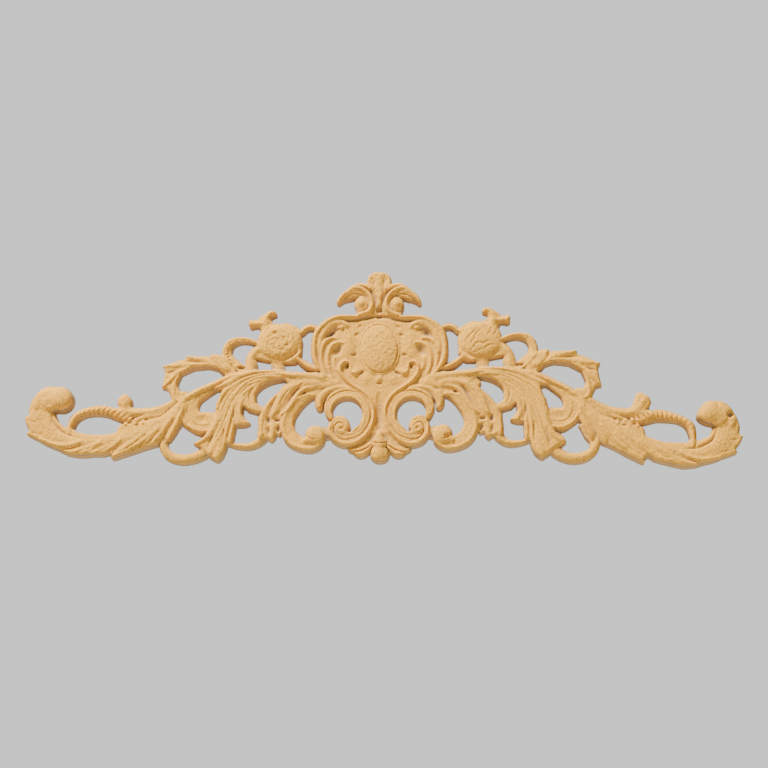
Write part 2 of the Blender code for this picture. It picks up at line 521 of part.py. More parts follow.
def stems(r):
    # main stem from the cartouche, spreading into the great leaf
    r.plate([(-33, -4), (-44, -1.5), (-53, -2.0), (-60, -2.2), (-66, -1.4), (-77, 0.3), (-88, 0.2),
             (-97, -1.0), (-104, -3.6), (-111, -8.5), (-117.3, -13.2), (-111.8, -14.6), (-113.2, -19.5),
             (-115.5, -23), (-116.2, -29.5), (-118, -38.5), (-121, -43.5), (-125.5, -47.6),
             (-131.6, -51.6), (-127, -54), (-123, -57.5), (-119.8, -61.4), (-115.4, -63.8),
             (-110.9, -61.2), (-108.4, -56), (-107.4, -51.8), (-103.6, -50.8), (-102.7, -46),
             (-101.2, -39.4), (-97, -39.4), (-94, -38.8), (-91.4, -37.0), (-93.8, -34.8), (-96.8, -30.6),
             (-96.0, -25.8), (-93, -28.6), (-85, -31), (-80, -29.5), (-83.0, -25.4), (-86.8, -23),
             (-87.3, -16.5), (-83.1, -10.6), (-76, -7.2), (-68, -6.6), (-62, -13), (-42, -14),
             (-30, -11)], 10.8, 1.6)
    r.only = r.right
    r.plate([(-112, -44), (-124, -45.4), (-128.8, -48.0), (-131.6, -51.6), (-128.4, -55), (-120, -58),
             (-112, -52)], 9.6, 1.8)
    r.plate([(-62, -6.4), (-68, -7), (-70.6, -8.8), (-71.4, -11.2), (-70.4, -13.6), (-66, -13),
             (-62, -10)], 10.0, 1.2)
    r.only = None
    for i, rows in enumerate(LEAF):
        r.strand(rows, dome(12.0 if i < 5 else 11.6, 1.2), 1.2)
    r.boss(-114.3, -58.6, 3.8, 5.4, 9.8, 11.6, turn=-18, power=0.5)
    # volute band round the left of the inner hole
    r.strand([(-60, -5.6, 1.2), (-72, -5.8, 2.0), (-81, -7.8, 2.8), (-88.2, -12.8, 3.1),
              (-90.8, -19.5, 3.2), (-88.6, -25.6, 3.0), (-84.5, -27.4, 2.4), (-81.5, -26.4, 1.6)],
             [(-1, 10.6), (-0.8, 11.3), (-0.3, 10.2), (0.5, 9.6), (1, 9.2)])
    # second leaf
    r.plate([(-40, -8), (-55, -7), (-64, -8.6), (-68.6, -10.6), (-71, -14.6), (-77.4, -20.2),
             (-80.9, -24.2), (-83, -28), (-86.0, -33), (-85.8, -40), (-86.8, -46.5), (-84.4, -48.0),
             (-80.6, -47.6), (-78.2, -48.8), (-75.8, -49.4), (-73.2, -45), (-70.6, -46), (-68, -40),
             (-66, -30), (-60, -23), (-53, -16), (-46, -19.6), (-42, -17.6), (-40, -14)], 10.0, 1.6)
    r.strand([(-44, -9.6, 4.0), (-54, -9.4, 3.4), (-64, -14, 3.8), (-70.6, -21.5, 4.4),
              (-73.4, -27.8, 3.8), (-75.9, -33.0, 1.4)], dome(11.7, 1.6))
    r.strand([(-46, -12.6, 1.2), (-54, -14.2, 1.9), (-60.0, -20.6, 2.4), (-64.4, -27, 2.4),
              (-69.5, -31.4, 1.2)], dome(11.9, 1.2))
    r.strand([(-57, -9.6, 1.0), (-66, -12.8, 1.2), (-74.4, -19.6, 1.7), (-78.8, -25, 2.1),
              (-82, -32, 2.8), (-82.9, -39, 3.0), (-83.3, -44.5, 2.6), (-84.4, -47.6, 1.4)],
             dome(11.2, 1.2))
    r.strand([(-74.5, -35.5, 1.6), (-75.4, -42, 2.0), (-76.0, -46.5, 2.3), (-76.6, -48.4, 1.4)],
             dome(10.6))
    # small ring below
    r.strand([(-82.5, -45.5, 1.0), (-84.8, -48.6, 2.2), (-89.5, -51.9, 2.1), (-95.5, -53.0, 1.9),
              (-101.5, -52.5, 1.7), (-107, -50.8, 1.6)], dome(9.8, 0.8))
    r.strand([(-80, -46.6, 1.2), (-83.4, -49.8, 1.5), (-89, -52.9, 1.3), (-95, -54.0, 1.1)], dome(9.6))


def stem_lines(r):
    for rows in ([(-60, -2.6, 0.4), (-74, -2.2, 0.7), (-88, -3.4, 0.8), (-98, -7.0, 0.8),
                  (-106, -12.2, 0.7), (-111.8, -16.6, 0.4)],
                 [(-66, -4.6, 0.4), (-82, -4.2, 0.8), (-93, -7.4, 0.9), (-101.0, -13.2, 1.0),
                  (-107.0, -20.6, 1.0), (-110.6, -28.6, 0.8), (-114, -35, 0.4)],
                 [(-84, -6.6, 0.4), (-93.4, -10.6, 0.9), (-100.6, -17.6, 1.0), (-105.2, -25.6, 1.0),
                  (-108.6, -34.6, 1.0), (-112.4, -43.6, 0.9), (-115.6, -48.6, 0.4)],
                 [(-88, -9.6, 0.4), (-95.2, -15.0, 0.8), (-99.4, -21.4, 1.0), (-102.6, -28.6, 1.1),
                  (-104.4, -36.6, 1.0), (-106.6, -44.8, 0.8), (-108.0, -49.4, 0.4)],
                 [(-102.2, -25.5, 0.4), (-102.6, -31, 1.1), (-101.6, -37.0, 0.6)],
                 [(-108.6, -39, 0.4), (-109.4, -45, 0.9), (-110.6, -51, 0.8), (-112.4, -56.5, 0.4)],
                 [(-116.2, -43, 0.4), (-118.8, -49, 0.9), (-120.8, -54.6, 0.6)],
                 [(-86.5, -11.5, 0.4), (-91.2, -16.5, 0.8), (-91.4, -22, 0.8), (-89, -26.4, 0.4)],
                 [(-51.5, -8.6, 0.4), (-57.7, -12.9, 1.0), (-62.6, -19.8, 1.0), (-65.6, -25.4, 0.6),
                  (-69.6, -29.6, 0.4)],
                 [(-69.0, -14.6, 0.4), (-73.8, -20.6, 0.9), (-76.2, -27, 0.8), (-78.2, -32.6, 0.5)],
                 [(-81.6, -34, 0.4), (-82.0, -39.5, 0.8), (-82.4, -44, 0.4)],
                 [(-62, -12.6, 0.3), (-67, -18.0, 0.7), (-70.6, -24.6, 0.4)]):
        r.groove(rows, 1.5, 7.6)
    r.pit(-78.2, -35.5, 1.3, 2.4, 1.9, 10)
    r.pit(-78.4, -43, 0.9, 2.8, 1.6)
    r.pit(-71.6, -41.6, 1.2, 2.4, 2.2)
    r.pit(-72.4, -35.4, 2.0, 1.0, 2.0)


def upper_leaf(r):
    r.plate([(-103, 8), (-110.5, 10.5), (-117, 11.6), (-119.4, 9.9), (-126, 9.9), (-135.4, 10.3),
             (-137.2, 7.8), (-143.6, 6.2), (-152.6, 2.7), (-151.2, -1), (-152.4, -8), (-153.6, -12.0),
             (-149.8, -13.4), (-147.8, -17), (-146.6, -21.5), (-140, -22.5), (-134, -17.6),
             (-140.4, -14.8), (-142.8, -9.5), (-139.4, -2.8), (-131, 0.8), (-121, 1.9), (-114.6, 0.4),
             (-111.0, -2.6), (-106, -6), (-100, -4)], 10.2, 1.6)
    for rows in UPPER:
        r.strand(rows, dome(11.2, 1.0), 1.2)
    # small curl in the hole
    r.boss(-138.0, -16.5, 3.0, 2.0, 8, 10.2)


def upper_leaf_lines(r):
    r.flutes([[(-106, 5.6, 1.2), (-112, 8.4, 1.8), (-117, 9.8, 1.0)], [(-122, 7.2, 1.0), (-129, 8.2, 1.4),
                                                                       (-134.6, 9.0, 0.8)]], 0.5)
    for rows in ([(-111.5, 1.5, 0.4), (-116, 4.2, 0.8), (-119.4, 8.4, 0.7)],
                 [(-122, 4.4, 0.4), (-130, 5.2, 0.8), (-137, 5.6, 0.6)],
                 [(-139, 0.2, 0.4), (-145.5, -1.6, 0.9), (-150.4, -2.6, 0.7)],
                 [(-143, -5.2, 0.4), (-147.4, -9.4, 0.8), (-150.6, -11.4, 0.5)]):
        r.groove(rows, 1.2, 7.8)


def branch(r):
    r.strand([(-98, -2.8, 1.7), (-106, -5.2, 2.3), (-114, -9.0, 2.7), (-122, -12.7, 2.8),
              (-130, -16.4, 2.9), (-138, -21.4, 3.0), (-142, -27, 2.4)], dome(11.3, 1.4))
    # second curl: a hollow cup inside two lines
    r.plate([(-139.8, -24), (-140.4, -37.5), (-136.5, -40.6), (-130.6, -44.2), (-125.6, -45.6),
             (-118, -44), (-113, -36), (-114.6, -29.5), (-119, -29.2), (-126.6, -29.2), (-130, -22),
             (-137, -20)], 8.8, 2.0)
    r.strand([(-115, -13.0, 1.0), (-122.2, -16.6, 2.0), (-129.4, -21.0, 3.4), (-132.1, -28, 4.5),
              (-130, -34.0, 5.4), (-123, -35.6, 5.8), (-116, -34.4, 3.6)], [(-1, 10.4), (-0.7, 9.9),
                                                                            (0.2, 9.3), (1, 9.0)])
    r.strand([(-137.4, -24, 1.4), (-138.4, -31, 1.9), (-136.2, -37.6, 2.0), (-130.5, -41.6, 2.0),
              (-123.5, -42.6, 1.7), (-117.4, -40.6, 1.2)], dome(10.8, 1.0))


def branch_lines(r):
    r.swell(-125, -34.6, 8.0, 4.0, -0.8, 8)
    for rows in ([(-100, -4.6, 0.3), (-110, -9.2, 0.7), (-120, -13.6, 0.8), (-130, -18.2, 0.6)],
                 [(-134.6, -25, 0.5), (-134.9, -31, 0.9), (-132.4, -36.4, 0.9), (-126.5, -39.2, 0.8),
                  (-119.5, -38.6, 0.5)],
                 [(-137.8, -27, 0.4), (-137.6, -33, 0.7), (-134.0, -38.4, 0.4)]):
        r.groove(rows, 1.2, 7.8)


def wing(r):
    r.plate([(-133, -22), (-140, -20.6), (-146, -21.4), (-150.5, -25.4), (-156, -28.4), (-170, -33),
             (-179, -36), (-183.3, -38.8), (-185.6, -43.4), (-190, -44.8), (-200, -45.2), (-212, -43.6),
             (-217.5, -39.8), (-221.4, -40.0), (-226.4, -35.4), (-228.8, -29.6), (-236, -17),
             (-240.4, -15.4), (-244.6, -21), (-246.8, -27), (-246.6, -31.4), (-249.8, -33.2),
             (-248.8, -38), (-246.6, -42.2), (-248.5, -45.0), (-243.6, -47.7), (-235.5, -51.1),
             (-227.4, -55.4), (-220.4, -58.9), (-213, -60.3), (-206, -60.2), (-200, -59.2), (-195, -59.8),
             (-191.2, -58.6), (-187, -61.8), (-180, -59.9), (-171, -56.9), (-164, -54.5), (-156, -52.2),
             (-152, -46), (-149.5, -50.5), (-147.4, -48.6), (-143.5, -43), (-139.8, -38)], 10.3, 1.6)
    # broad body of the leaf from its root to the ball
    r.strand([(-139, -26, 3.4), (-150, -35, 5.2), (-165, -42.5, 6.0), (-185, -49.2, 5.6),
              (-205, -51.4, 6.4), (-222, -49, 7.6), (-233, -42, 8.4), (-237.5, -32, 8.4),
              (-236.4, -24, 7.6), (-230.6, -19.6, 6.4)], dome(11.2, 1.0), 3.0)
    for rows in LOBES:
        r.strand(rows, dome(11.3, 1.0), 1.2)
    # smooth strand along the top, with the knob
    r.strand([(-145, -21.6, 1.4), (-152, -26.2, 2.6), (-160, -29.0, 3.2), (-170, -29.8, 3.4),
              (-177, -29.6, 3.8), (-184, -29.4, 3.4), (-189, -28.6, 2.2)], dome(10.8, 1.4))
    r.only = ~r.right
    r.strand([(-178.6, -31, 5.2), (-179.0, -26.6, 4.8), (-179.4, -22.4, 4.4), (-179.2, -19.6, 3.0)],
             dome(11.0, 1.4))
    r.boss(-179.5, -22.3, 5.2, 5.1, 8.5, 11.4)
    r.only = r.right
    r.plate([(-166, -30), (-171.5, -27.8), (-174.8, -24.6), (-175.8, -20.2), (-176.6, -16.7),
             (-179.4, -16.3), (-183.6, -17.9), (-185.7, -21.0), (-185.2, -24.4), (-183.2, -27),
             (-186, -31)], 10.2, 2.0)
    r.strand([(-173, -29.6, 2.0), (-178.6, -26.4, 3.0), (-180.2, -22.6, 3.0), (-181.4, -20.4, 2.6)],
             dome(11.0, 1.2))
    r.only = None
    # rope over the eye
    r.strand(ROPE, dome(10.9, 1.6))
    # ball at the end, rolled over from the leaf
    r.boss(-224.4, -20.4, 9.0, 8.9, 10.0, TALLEST, power=0.6)
    r.boss(-230.5, -21.2, 10.6, 8.6, 10.0, 13.6, 20, power=0.6)
    r.strand([(-240.6, -26, 3.2), (-239.2, -20.2, 3.7), (-234.4, -16.6, 4.5), (-228.6, -17.0, 5.8)],
             dome(12.4, 1.4))


def knots(r):
    """Small hollows between knots where the rope meets the leaf"""
    for x, z, rx, rz in ((-173.2, -34.2, 1.4, 0.9), (-176.2, -37.4, 1.0, 1.2), (-168.4, -36.4, 1.6, 0.9),
                         (-181.0, -37.4, 1.2, 0.8), (-164.2, -34.8, 1.2, 0.6), (-170.6, -38.6, 1.4, 0.7)):
        r.pit(x, z, rx, rz, 1.0, 20)
    for x, z in ((-171.0, -35.4), (-175.6, -34.6), (-178.6, -38.2), (-166.4, -37.6)):
        r.swell(x, z, 1.6, 1.4, 0.8)


def wing_lines(r):
    r.flutes([[(x, z, 0.9 * w) for x, z, w in rows] for rows in LOBES], 0.5)
    for rows in ([(-147, -38, 0.4), (-150.4, -44, 0.9), (-151.8, -49, 0.8)],
                 [(-152, -40, 0.4), (-158.5, -47.5, 0.8), (-163.6, -51.6, 0.6)],
                 [(-160, -46, 0.4), (-165.6, -50.6, 0.8), (-169.6, -54.8, 0.5)],
                 [(-168, -48.4, 0.4), (-177, -54.6, 0.9), (-186, -58.6, 0.6), (-190.6, -59.6, 0.4)],
                 [(-186, -52, 0.4), (-194.6, -56.4, 0.8), (-200.6, -58.9, 0.5)],
                 [(-198, -53.6, 0.4), (-207.4, -56.4, 0.8), (-214.5, -58.8, 0.5)],
                 [(-208, -53.0, 0.4), (-217.6, -55.4, 0.7), (-225, -55.0, 0.4)],
                 [(-226, -50.6, 0.3), (-232.5, -50.6, 0.5), (-238, -50.0, 0.3)],
                 [(-236, -45.6, 0.3), (-241.6, -44.8, 0.6), (-245.6, -44.0, 0.4)],
                 [(-240, -37.6, 0.3), (-243.4, -36.6, 0.5), (-246.4, -35.4, 0.3)]):
        r.groove(rows, 1.1, 8.0)
    r.groove([(-142, -22.6, 0.6), (-147, -27.2, 1.0), (-153, -32.4, 1.1), (-162, -34.4, 1.1),
              (-170, -35.2, 1.3), (-176, -36.4, 1.0)], 1.2, 8.2)
    r.groove([(-229.8, -31, 0.5), (-229.0, -36, 0.8), (-225.0, -41.6, 0.8), (-219.6, -46.2, 0.6),
              (-212, -48.2, 0.4)], 1.0, 8.0)
    r.groove([(-219.6, -40.6, 0.5), (-219.6, -44, 0.7), (-216.5, -46.4, 0.4)], 1.4, 8.0)
    # seam of the rolled end
    r.groove([(-239.0, -21.0, 0.4), (-236.8, -25.0, 0.8), (-233.4, -28.2, 0.9), (-229.4, -29.4, 0.8),
              (-225.8, -29.6, 0.5)], 0.5, 8.0)
    r.only = ~r.right
    r.swell(-231.0, -26.8, 2.6, 1.8, 0.9, 25)
    r.only = r.right
    r.pit(-240.8, -20.4, 2.2, 1.7, 2.6, -20)
    r.groove([(-228.6, -13.4, 0.3), (-229.8, -16.0, 0.8), (-228.6, -18.6, 0.3)], 0.9)
    r.only = None


def rope(r):
    """Twist of the rope, which fades out towards the ball"""
    line = curve(ROPE)
    along = run_along(line)
    for at in np.arange(ROPE_START, along[-1], ROPE_STEP):
        x, z, width = (np.interp(at, along, line[:, i]) for i in range(3))
        ahead = np.array([np.interp(at + 1, along, line[:, i]) for i in (0, 1)]) - (x, z)
        ahead /= np.hypot(*ahead)
        slant = 0.85 * width * np.array([ahead[0] * 0.45 - ahead[1], ahead[1] * 0.45 + ahead[0]])
        deep = ROPE_DEEP * smooth(1.9 - 2 * at / along[-1])
        r.groove([(x - slant[0], z - slant[1], 0.4), (x, z, 0.9), (x + slant[0], z + slant[1], 0.4)],
                 deep, 8.0)


def ring(r):
    r.only = r.right
    r.plate([(-139.4, -41.0), (-141, -43.4), (-143.8, -48.4), (-147.3, -51.8), (-147.3, -55),
             (-150.5, -56), (-152, -52), (-150, -46), (-145, -39)], 8.8, 1.5)
    r.only = None
    r.strand([(-151.4, -48, 2.7), (-151.9, -54, 2.9, 3.3), (-147.7, -59.4, 3.0, 3.7), (-140, -62.1, 3.3),
              (-131, -60.9, 3.3), (-124.0, -57.4, 3.7), (-120.6, -54, 3.0)], dome(9.8, 0.8))


RIM = ((-20.8, 4.8, 0.9), (-24.2, 5.7, 1.4), (-27.2, 3, 1.7), (-27.4, -1.5, 1.7), (-24, -6.5, 1.6),
       (-18, -11.3, 1.5), (-10.6, -16.0, 1.4), (-5.8, -22.0, 1.3), (-3.8, -30, 1.3), (-5.2, -38, 1.4),
       (-9.4, -45, 1.5), (-16.5, -50.3, 1.7), (-24, -51.8, 1.9), (-30.5, -49.5, 2.0), (-34.6, -44.3, 1.9),
       (-34.6, -39.5, 1.7))
BAND = ((-34.3, -33, 2.3), (-35.8, -26.4, 3.3), (-32, -19.6, 3.9), (-24.5, -16.4, 3.9), (-16, -18.0, 3.8),
        (-10.0, -24.4, 3.6), (-8.6, -33, 3.8), (-11.9, -41.3, 4.4), (-19, -45.8, 4.6),
        (-26.5, -46.2, 4.5), (-32, -42.6, 3.6), (-32.3, -37.8, 3.4), (-28.6, -34.7, 3.1),
        (-24.5, -36.1, 2.8), (-22.2, -40.0, 1.8))
LOOP = ((-86.5, 18.6, 1.8), (-91.5, 20.7, 1.8), (-98.2, 21.2, 2.1), (-105.1, 18.7, 2.9),
        (-107.8, 12.6, 3.5), (-105.7, 7.0, 3.8), (-100.8, 3.2, 3.6), (-96.5, -0.5, 3.6))
LEAF = (
    ((-40, -5.5, 3.5), (-60, -3.6, 2.6), (-78, -1.8, 2.2), (-90, -2.4, 2.1), (-100, -5.4, 2.2),
     (-108, -10, 2.2), (-115.8, -13.0, 0.9)),
    ((-60, -4.6, 1.6), (-78, -3.4, 1.9), (-92, -5.0, 2.0), (-102, -9.8, 2.2), (-108.6, -15, 2.3),
     (-112.2, -21, 1.8), (-113.9, -27, 1.4)),
    ((-70, -5.4, 1.2), (-86, -5.4, 1.7), (-96, -9.6, 1.9), (-103.6, -16, 2.2), (-108.8, -24, 2.5),
     (-112.8, -33, 2.8), (-117.6, -42, 2.7), (-122.6, -48.2, 2.2), (-129.3, -51.7, 0.9)),
    ((-84, -7.2, 1.0), (-93, -10.3, 1.6), (-100, -16.4, 1.9), (-104.6, -24, 2.3), (-108.6, -34, 2.6),
     (-112, -43, 2.8), (-115.4, -51, 3.2), (-119.4, -58.0, 2.6)),
    ((-90, -12.2, 0.9), (-96.5, -17.4, 1.5), (-101, -24.5, 2.0), (-105, -34, 2.2), (-107.6, -43, 2.0),
     (-110.2, -50, 2.4), (-112.6, -56, 3.4), (-115, -61.5, 2.4)),
    ((-102.2, -33, 1.0), (-103.8, -40, 1.9), (-104.8, -46, 1.9), (-105.2, -50.2, 1.2)),
    ((-93.5, -17, 0.8), (-97.2, -22.5, 1.5), (-98.8, -28.5, 2.0), (-98.6, -33.4, 2.4),
     (-96.4, -36.9, 2.1), (-92.4, -37.0, 0.8)),
)
UPPER = (
    ((-107, 1, 2.6), (-113, 5.2, 3.2), (-117, 8.8, 1.6), (-118.4, 10.6, 0.7)),
    ((-108, -0.2, 1.6), (-119, 5.0, 2.6), (-128, 6.8, 2.4), (-135.8, 9.2, 0.9)),
    ((-114, 2.2, 1.0), (-126, 3.6, 1.7), (-138, 2.8, 2.3), (-145, 2.6, 1.7), (-152, 2.6, 0.7)),
    ((-133, 1.4, 1.0), (-142.4, -2.4, 2.2), (-146.6, -7.0, 2.2), (-149.8, -10.2, 1.5),
     (-153, -12.0, 0.7)),
    ((-140.9, -4.0, 0.8), (-144.0, -9.6, 1.6), (-144.8, -15, 1.8), (-144.2, -20, 1.5), (-141, -22, 1.0)),
)
LOBES = (
    ((-139, -29, 2.0), (-142.2, -36, 2.4), (-145.6, -42.5, 2.4), (-148.6, -49.2, 0.9)),
    ((-146, -34, 2.4), (-151.5, -41, 3.2), (-156.5, -47, 3.4), (-159.5, -51.0, 1.6)),
    ((-155, -40, 2.4), (-162, -47, 3.2), (-169, -51.6, 2.6), (-175, -54.6, 1.2)),
    ((-166, -45, 2.2), (-175, -52.4, 3.4), (-183, -57.8, 2.8), (-188.0, -61.2, 1.0)),
    ((-182, -49, 2.2), (-190, -54.6, 2.8), (-198.5, -57.4, 2.2), (-204, -58.4, 1.0)),
    ((-196, -51, 2.4), (-205, -55.8, 3.2), (-214, -57.4, 2.4), (-221, -57.2, 1.2)),
    ((-210, -50.6, 2.2), (-222, -53.4, 2.8), (-232, -51.2, 2.2), (-239, -48.6, 1.2)),
)
ROPE = (
    (-171, -35.4, 2.2), (-178, -34.4, 2.8), (-185, -31.1, 3.6), (-192, -28.5, 3.6), (-200, -28.1, 3.2),
    (-208.4, -29.7, 2.9), (-214.6, -33.6, 2.8), (-217.6, -39.4, 2.5), (-218, -45, 2.0),
)
ROPE_START = 3.0
ROPE_STEP = 3.4
ROPE_DEEP = 1.2


def draw(r):
    """Lays the broad forms over one another and wears them soft, then cuts the crisp lines"""
    for part in (ring, wing, upper_leaf, branch, flower, stems, scroll_a, centre, volute, crown):
        part(r)
    for part in (wing_lines, upper_leaf_lines, branch_lines, stem_lines):
        part(r)
    r.soften(SOFTNESS)
    for part in (rope, knots, flower_lines, scroll_a_lines, centre_lines, volute_lines, crown_lines):
        part(r)
    r.round_rim(RIM_ROUND, LOW_EDGE)


def grown(seed, allowed):
    """The part of allowed that joins on to seed"""
    while True:
        wider = seed.copy()
        wider[1:] |= seed[:-1]
        wider[:-1] |= seed[1:]
        wider[:, 1:] |= seed[:, :-1]
        wider[:, :-1] |= seed[:, 1:]
        wider &= allowed
        if (wider == seed).all():
            return seed
        seed = wider


def one_piece(inside):
    """Leaves out crumbs beside the body, which holds the middle of the sheet"""
    body = inside > 0
    seed = np.zeros_like(body)
    seed[body.shape[0] // 2, body.shape[1] // 2] = True
    return np.where(body & ~grown(seed, body), -0.4, inside)


def outline_cells(inside):
    """The faces of every cell that holds material, their points and the edges along the outline"""
    points, point_at, faces, rim = [], {}, [], []

    def corner(at):
        if at not in point_at:
            point_at[at] = len(points)
            points.append((at[1], at[0], False))
        return point_at[at]

    def crossing(a, b):
        key = (a, b) if a < b else (b, a)
        if key not in point_at:
            (i0, j0), (i1, j1) = key
            f0, f1 = inside[key[0]], inside[key[1]]
            q = min(max(f0 / (f0 - f1), NO_SLIVER), 1 - NO_SLIVER)
            point_at[key] = len(points)
            points.append((j0 + q * (j1 - j0), i0 + q * (i1 - i0), True))
        return point_at[key]

    solid = inside > 0
    some = solid[:-1, :-1] | solid[1:, :-1] | solid[:-1, 1:] | solid[1:, 1:]
    for i, j in np.argwhere(some).tolist():
        ring = [(i, j), (i, j + 1), (i + 1, j + 1), (i + 1, j)]
        held = [bool(solid[c]) for c in ring]
        if held in ([True, False, True, False], [False, True, False, True]):
            for k in np.nonzero(held)[0]:
                out = crossing(ring[k], ring[(k + 1) % 4])
                back = crossing(ring[k], ring[k - 1])
                faces.append([corner(ring[k]), out, back])
                rim.append((out, back))
            continue
        loop = []
        for k in range(4):
            if held[k]:
                loop.append(corner(ring[k]))
            if held[k] != held[(k + 1) % 4]:
                loop.append(crossing(ring[k], ring[(k + 1) % 4]))
        faces.append(loop)
        if not all(held):
            rim += [(a, b) for a, b in zip(loop, loop[1:] + loop[:1]) if points[a][2] and points[b][2]]
    return points, faces, rim


def relief_mesh(name, pitch):
    """The closed body: carved front, plain edge and flat back, from samples at an even spacing"""
    across, up = (np.arange(-int(half / pitch), int(half / pitch) + 1) * pitch for half in SHEET)
    wide, high = np.meshgrid(across, up)
    relief = Relief(*drawing_place(wide, high), wide > 0, pitch)
    draw(relief)
    points, faces, rim = outline_cells(one_piece(relief.inside))
    count = len(points)
    column, row, edge = (np.array(v) for v in zip(*points))
    x = across[0] + column * pitch
    z = up[0] + row * pitch
    front = relief.height[np.rint(row).astype(int), np.rint(column).astype(int)]
    front = np.where(edge, LOW_EDGE, np.maximum(front, LEAST_SHARE * LOW_EDGE))
    x *= LENGTH / np.ptp(x)
    z *= HEIGHT / np.ptp(z)
    y = -front * DEPTH / TALLEST
    cos = [*zip(x, y, z)] + [(a, 0.0, c) for a, c in zip(x, z)]
    sides = [(a, b, b + count, a + count) for a, b in rim]
    backs = [[v + count for v in reversed(loop)] for loop in faces]
    mesh = bpy.data.meshes.new(name)
    mesh.from_pydata(cos, [], faces + backs + sides)
    body = bmesh.new()
    body.from_mesh(mesh)
    bmesh.ops.triangulate(body, faces=body.faces[:])
    bmesh.ops.recalc_face_normals(body, faces=body.faces[:])
    body.to_mesh(mesh)
    body.free()
    return mesh


def thinned(mesh, faces):
    """The same body with fewer faces, its back still flat"""
    piece = bpy.data.objects.new(mesh.name, mesh)
    bpy.context.scene.collection.objects.link(piece)
    fewer = piece.modifiers.new("fewer", "DECIMATE")
    fewer.ratio = faces / len(mesh.polygons)
    graph = bpy.context.evaluated_depsgraph_get()
    result = bpy.data.meshes.new_from_object(piece.evaluated_get(graph))
    bpy.data.objects.remove(piece)
    bpy.data.meshes.remove(mesh)
    for vertex in result.vertices:
        if vertex.co.y > -NEARLY_FLAT * EDGE:
            vertex.co.y = 0.0
    return result


def moulding_material():
    material = bpy.data.materials.new("moulded_wood")
    material.use_nodes = True
    shader = material.node_tree.nodes["Principled BSDF"]
    shader.inputs["Base Color"].default_value = (0.76, 0.52, 0.29, 1)
    shader.inputs["Roughness"].default_value = 0.75
    return material


def main():
    for thing in list(bpy.data.objects):
        bpy.data.objects.remove(thing)
    mesh = thinned(relief_mesh("frieze", 2 * SHEET[0] / SAMPLES_ALONG), FACES)
    mesh.materials.append(moulding_material())
    frieze = bpy.data.objects.new("frieze", mesh)
    bpy.context.scene.collection.objects.link(frieze)


main()
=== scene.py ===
"""Looks of the moulded frieze: the carving at full fineness, its matt cast wood, light and camera."""

import math

import bmesh
import bpy
import numpy as np
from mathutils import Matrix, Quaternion, Vector


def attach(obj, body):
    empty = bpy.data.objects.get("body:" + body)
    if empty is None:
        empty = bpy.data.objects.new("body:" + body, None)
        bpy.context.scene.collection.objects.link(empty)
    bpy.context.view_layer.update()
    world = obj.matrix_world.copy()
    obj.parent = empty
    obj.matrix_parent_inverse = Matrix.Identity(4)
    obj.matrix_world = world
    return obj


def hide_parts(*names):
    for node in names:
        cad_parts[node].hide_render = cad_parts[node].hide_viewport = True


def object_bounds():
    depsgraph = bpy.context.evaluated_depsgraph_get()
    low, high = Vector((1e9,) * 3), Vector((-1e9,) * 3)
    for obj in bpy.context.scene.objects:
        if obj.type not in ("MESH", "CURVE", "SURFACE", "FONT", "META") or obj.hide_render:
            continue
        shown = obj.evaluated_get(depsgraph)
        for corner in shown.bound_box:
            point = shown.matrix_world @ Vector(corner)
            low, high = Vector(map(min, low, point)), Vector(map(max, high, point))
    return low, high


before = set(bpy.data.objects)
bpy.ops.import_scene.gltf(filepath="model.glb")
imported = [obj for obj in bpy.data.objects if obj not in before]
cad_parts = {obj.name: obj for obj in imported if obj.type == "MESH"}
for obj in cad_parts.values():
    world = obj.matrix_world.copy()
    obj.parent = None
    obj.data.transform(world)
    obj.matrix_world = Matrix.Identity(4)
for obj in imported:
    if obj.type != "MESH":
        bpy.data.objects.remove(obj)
cad_box = [list(corner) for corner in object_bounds()]

LENGTH = cad_box[1][0] - cad_box[0][0]
HEIGHT = cad_box[1][2] - cad_box[0][2]
DEPTH = cad_box[1][1] - cad_box[0][1]
# thickness of the plain edge that stands on the wall, before the carving rounds over
EDGE = 0.0078
# how softly one piece of carving runs into the next
FILLET = 0.0016
# spacing of the samples in units of the drawing, and the faces left after thinning
FINE_PITCH = 0.45
FINE_FACES = 190000
# dents of the cast surface: how wide and how deep in units of the drawing, over all and on the oval
GRAIN = ((0.5, 0.075), (1.5, 0.06))
HAMMERED = (0.6, 0.13)
DENT_SEED = 11
# a dent is at most this many times as deep as the mean one
DEEPEST_DENT = 3
# painted shade: a place is a hollow, and is painted darker, by how far it lies under the carving this near
# to it
AROUND = 0.0024
SHALLOW = 0.0002
DEEP = 0.0017
# the grid for that: cells to this reach, and spare cells at its sides
CELLS_AROUND = 3
SPARE_CELLS = 8
# painted shade on the rim, the wall behind it and the back: they count as hollows this much
RIM_PAINTED_SHADE = 0.4
WALL_PAINTED_SHADE = 1.0
BACK_PAINTED_SHADE = 0.15
# the front and the rim start at these shares of the edge's thickness, and the back faces back this much
FRONT_FROM = 1.03
RIM_FROM = 0.9
BACK_FROM = 0.5
# edges of the carving that turn by more degrees than this stay sharp
SHARP = 50
# where the photograph was taken from
AZIMUTH = 3.0
ELEVATION = -14.5
ROLL = 0.8
DISTANCE = 1.55
# the place of the object that the middle of the frame shows, and the width that it takes in there
AIM = (0.0034, -0.008, -0.0100)
FRAME_WIDTH = 0.5450
FLOOR_BELOW = 1.3
# brightness of the studio before the piece and behind it, and where the one runs into the other
FRONT_GLOW = 0.10
BACK_GLOW = 1.0
FRONT_TO_BACK = (-0.4, 0.8)
STUDIO_WHITE = (0.97, 0.98, 0.99, 1)
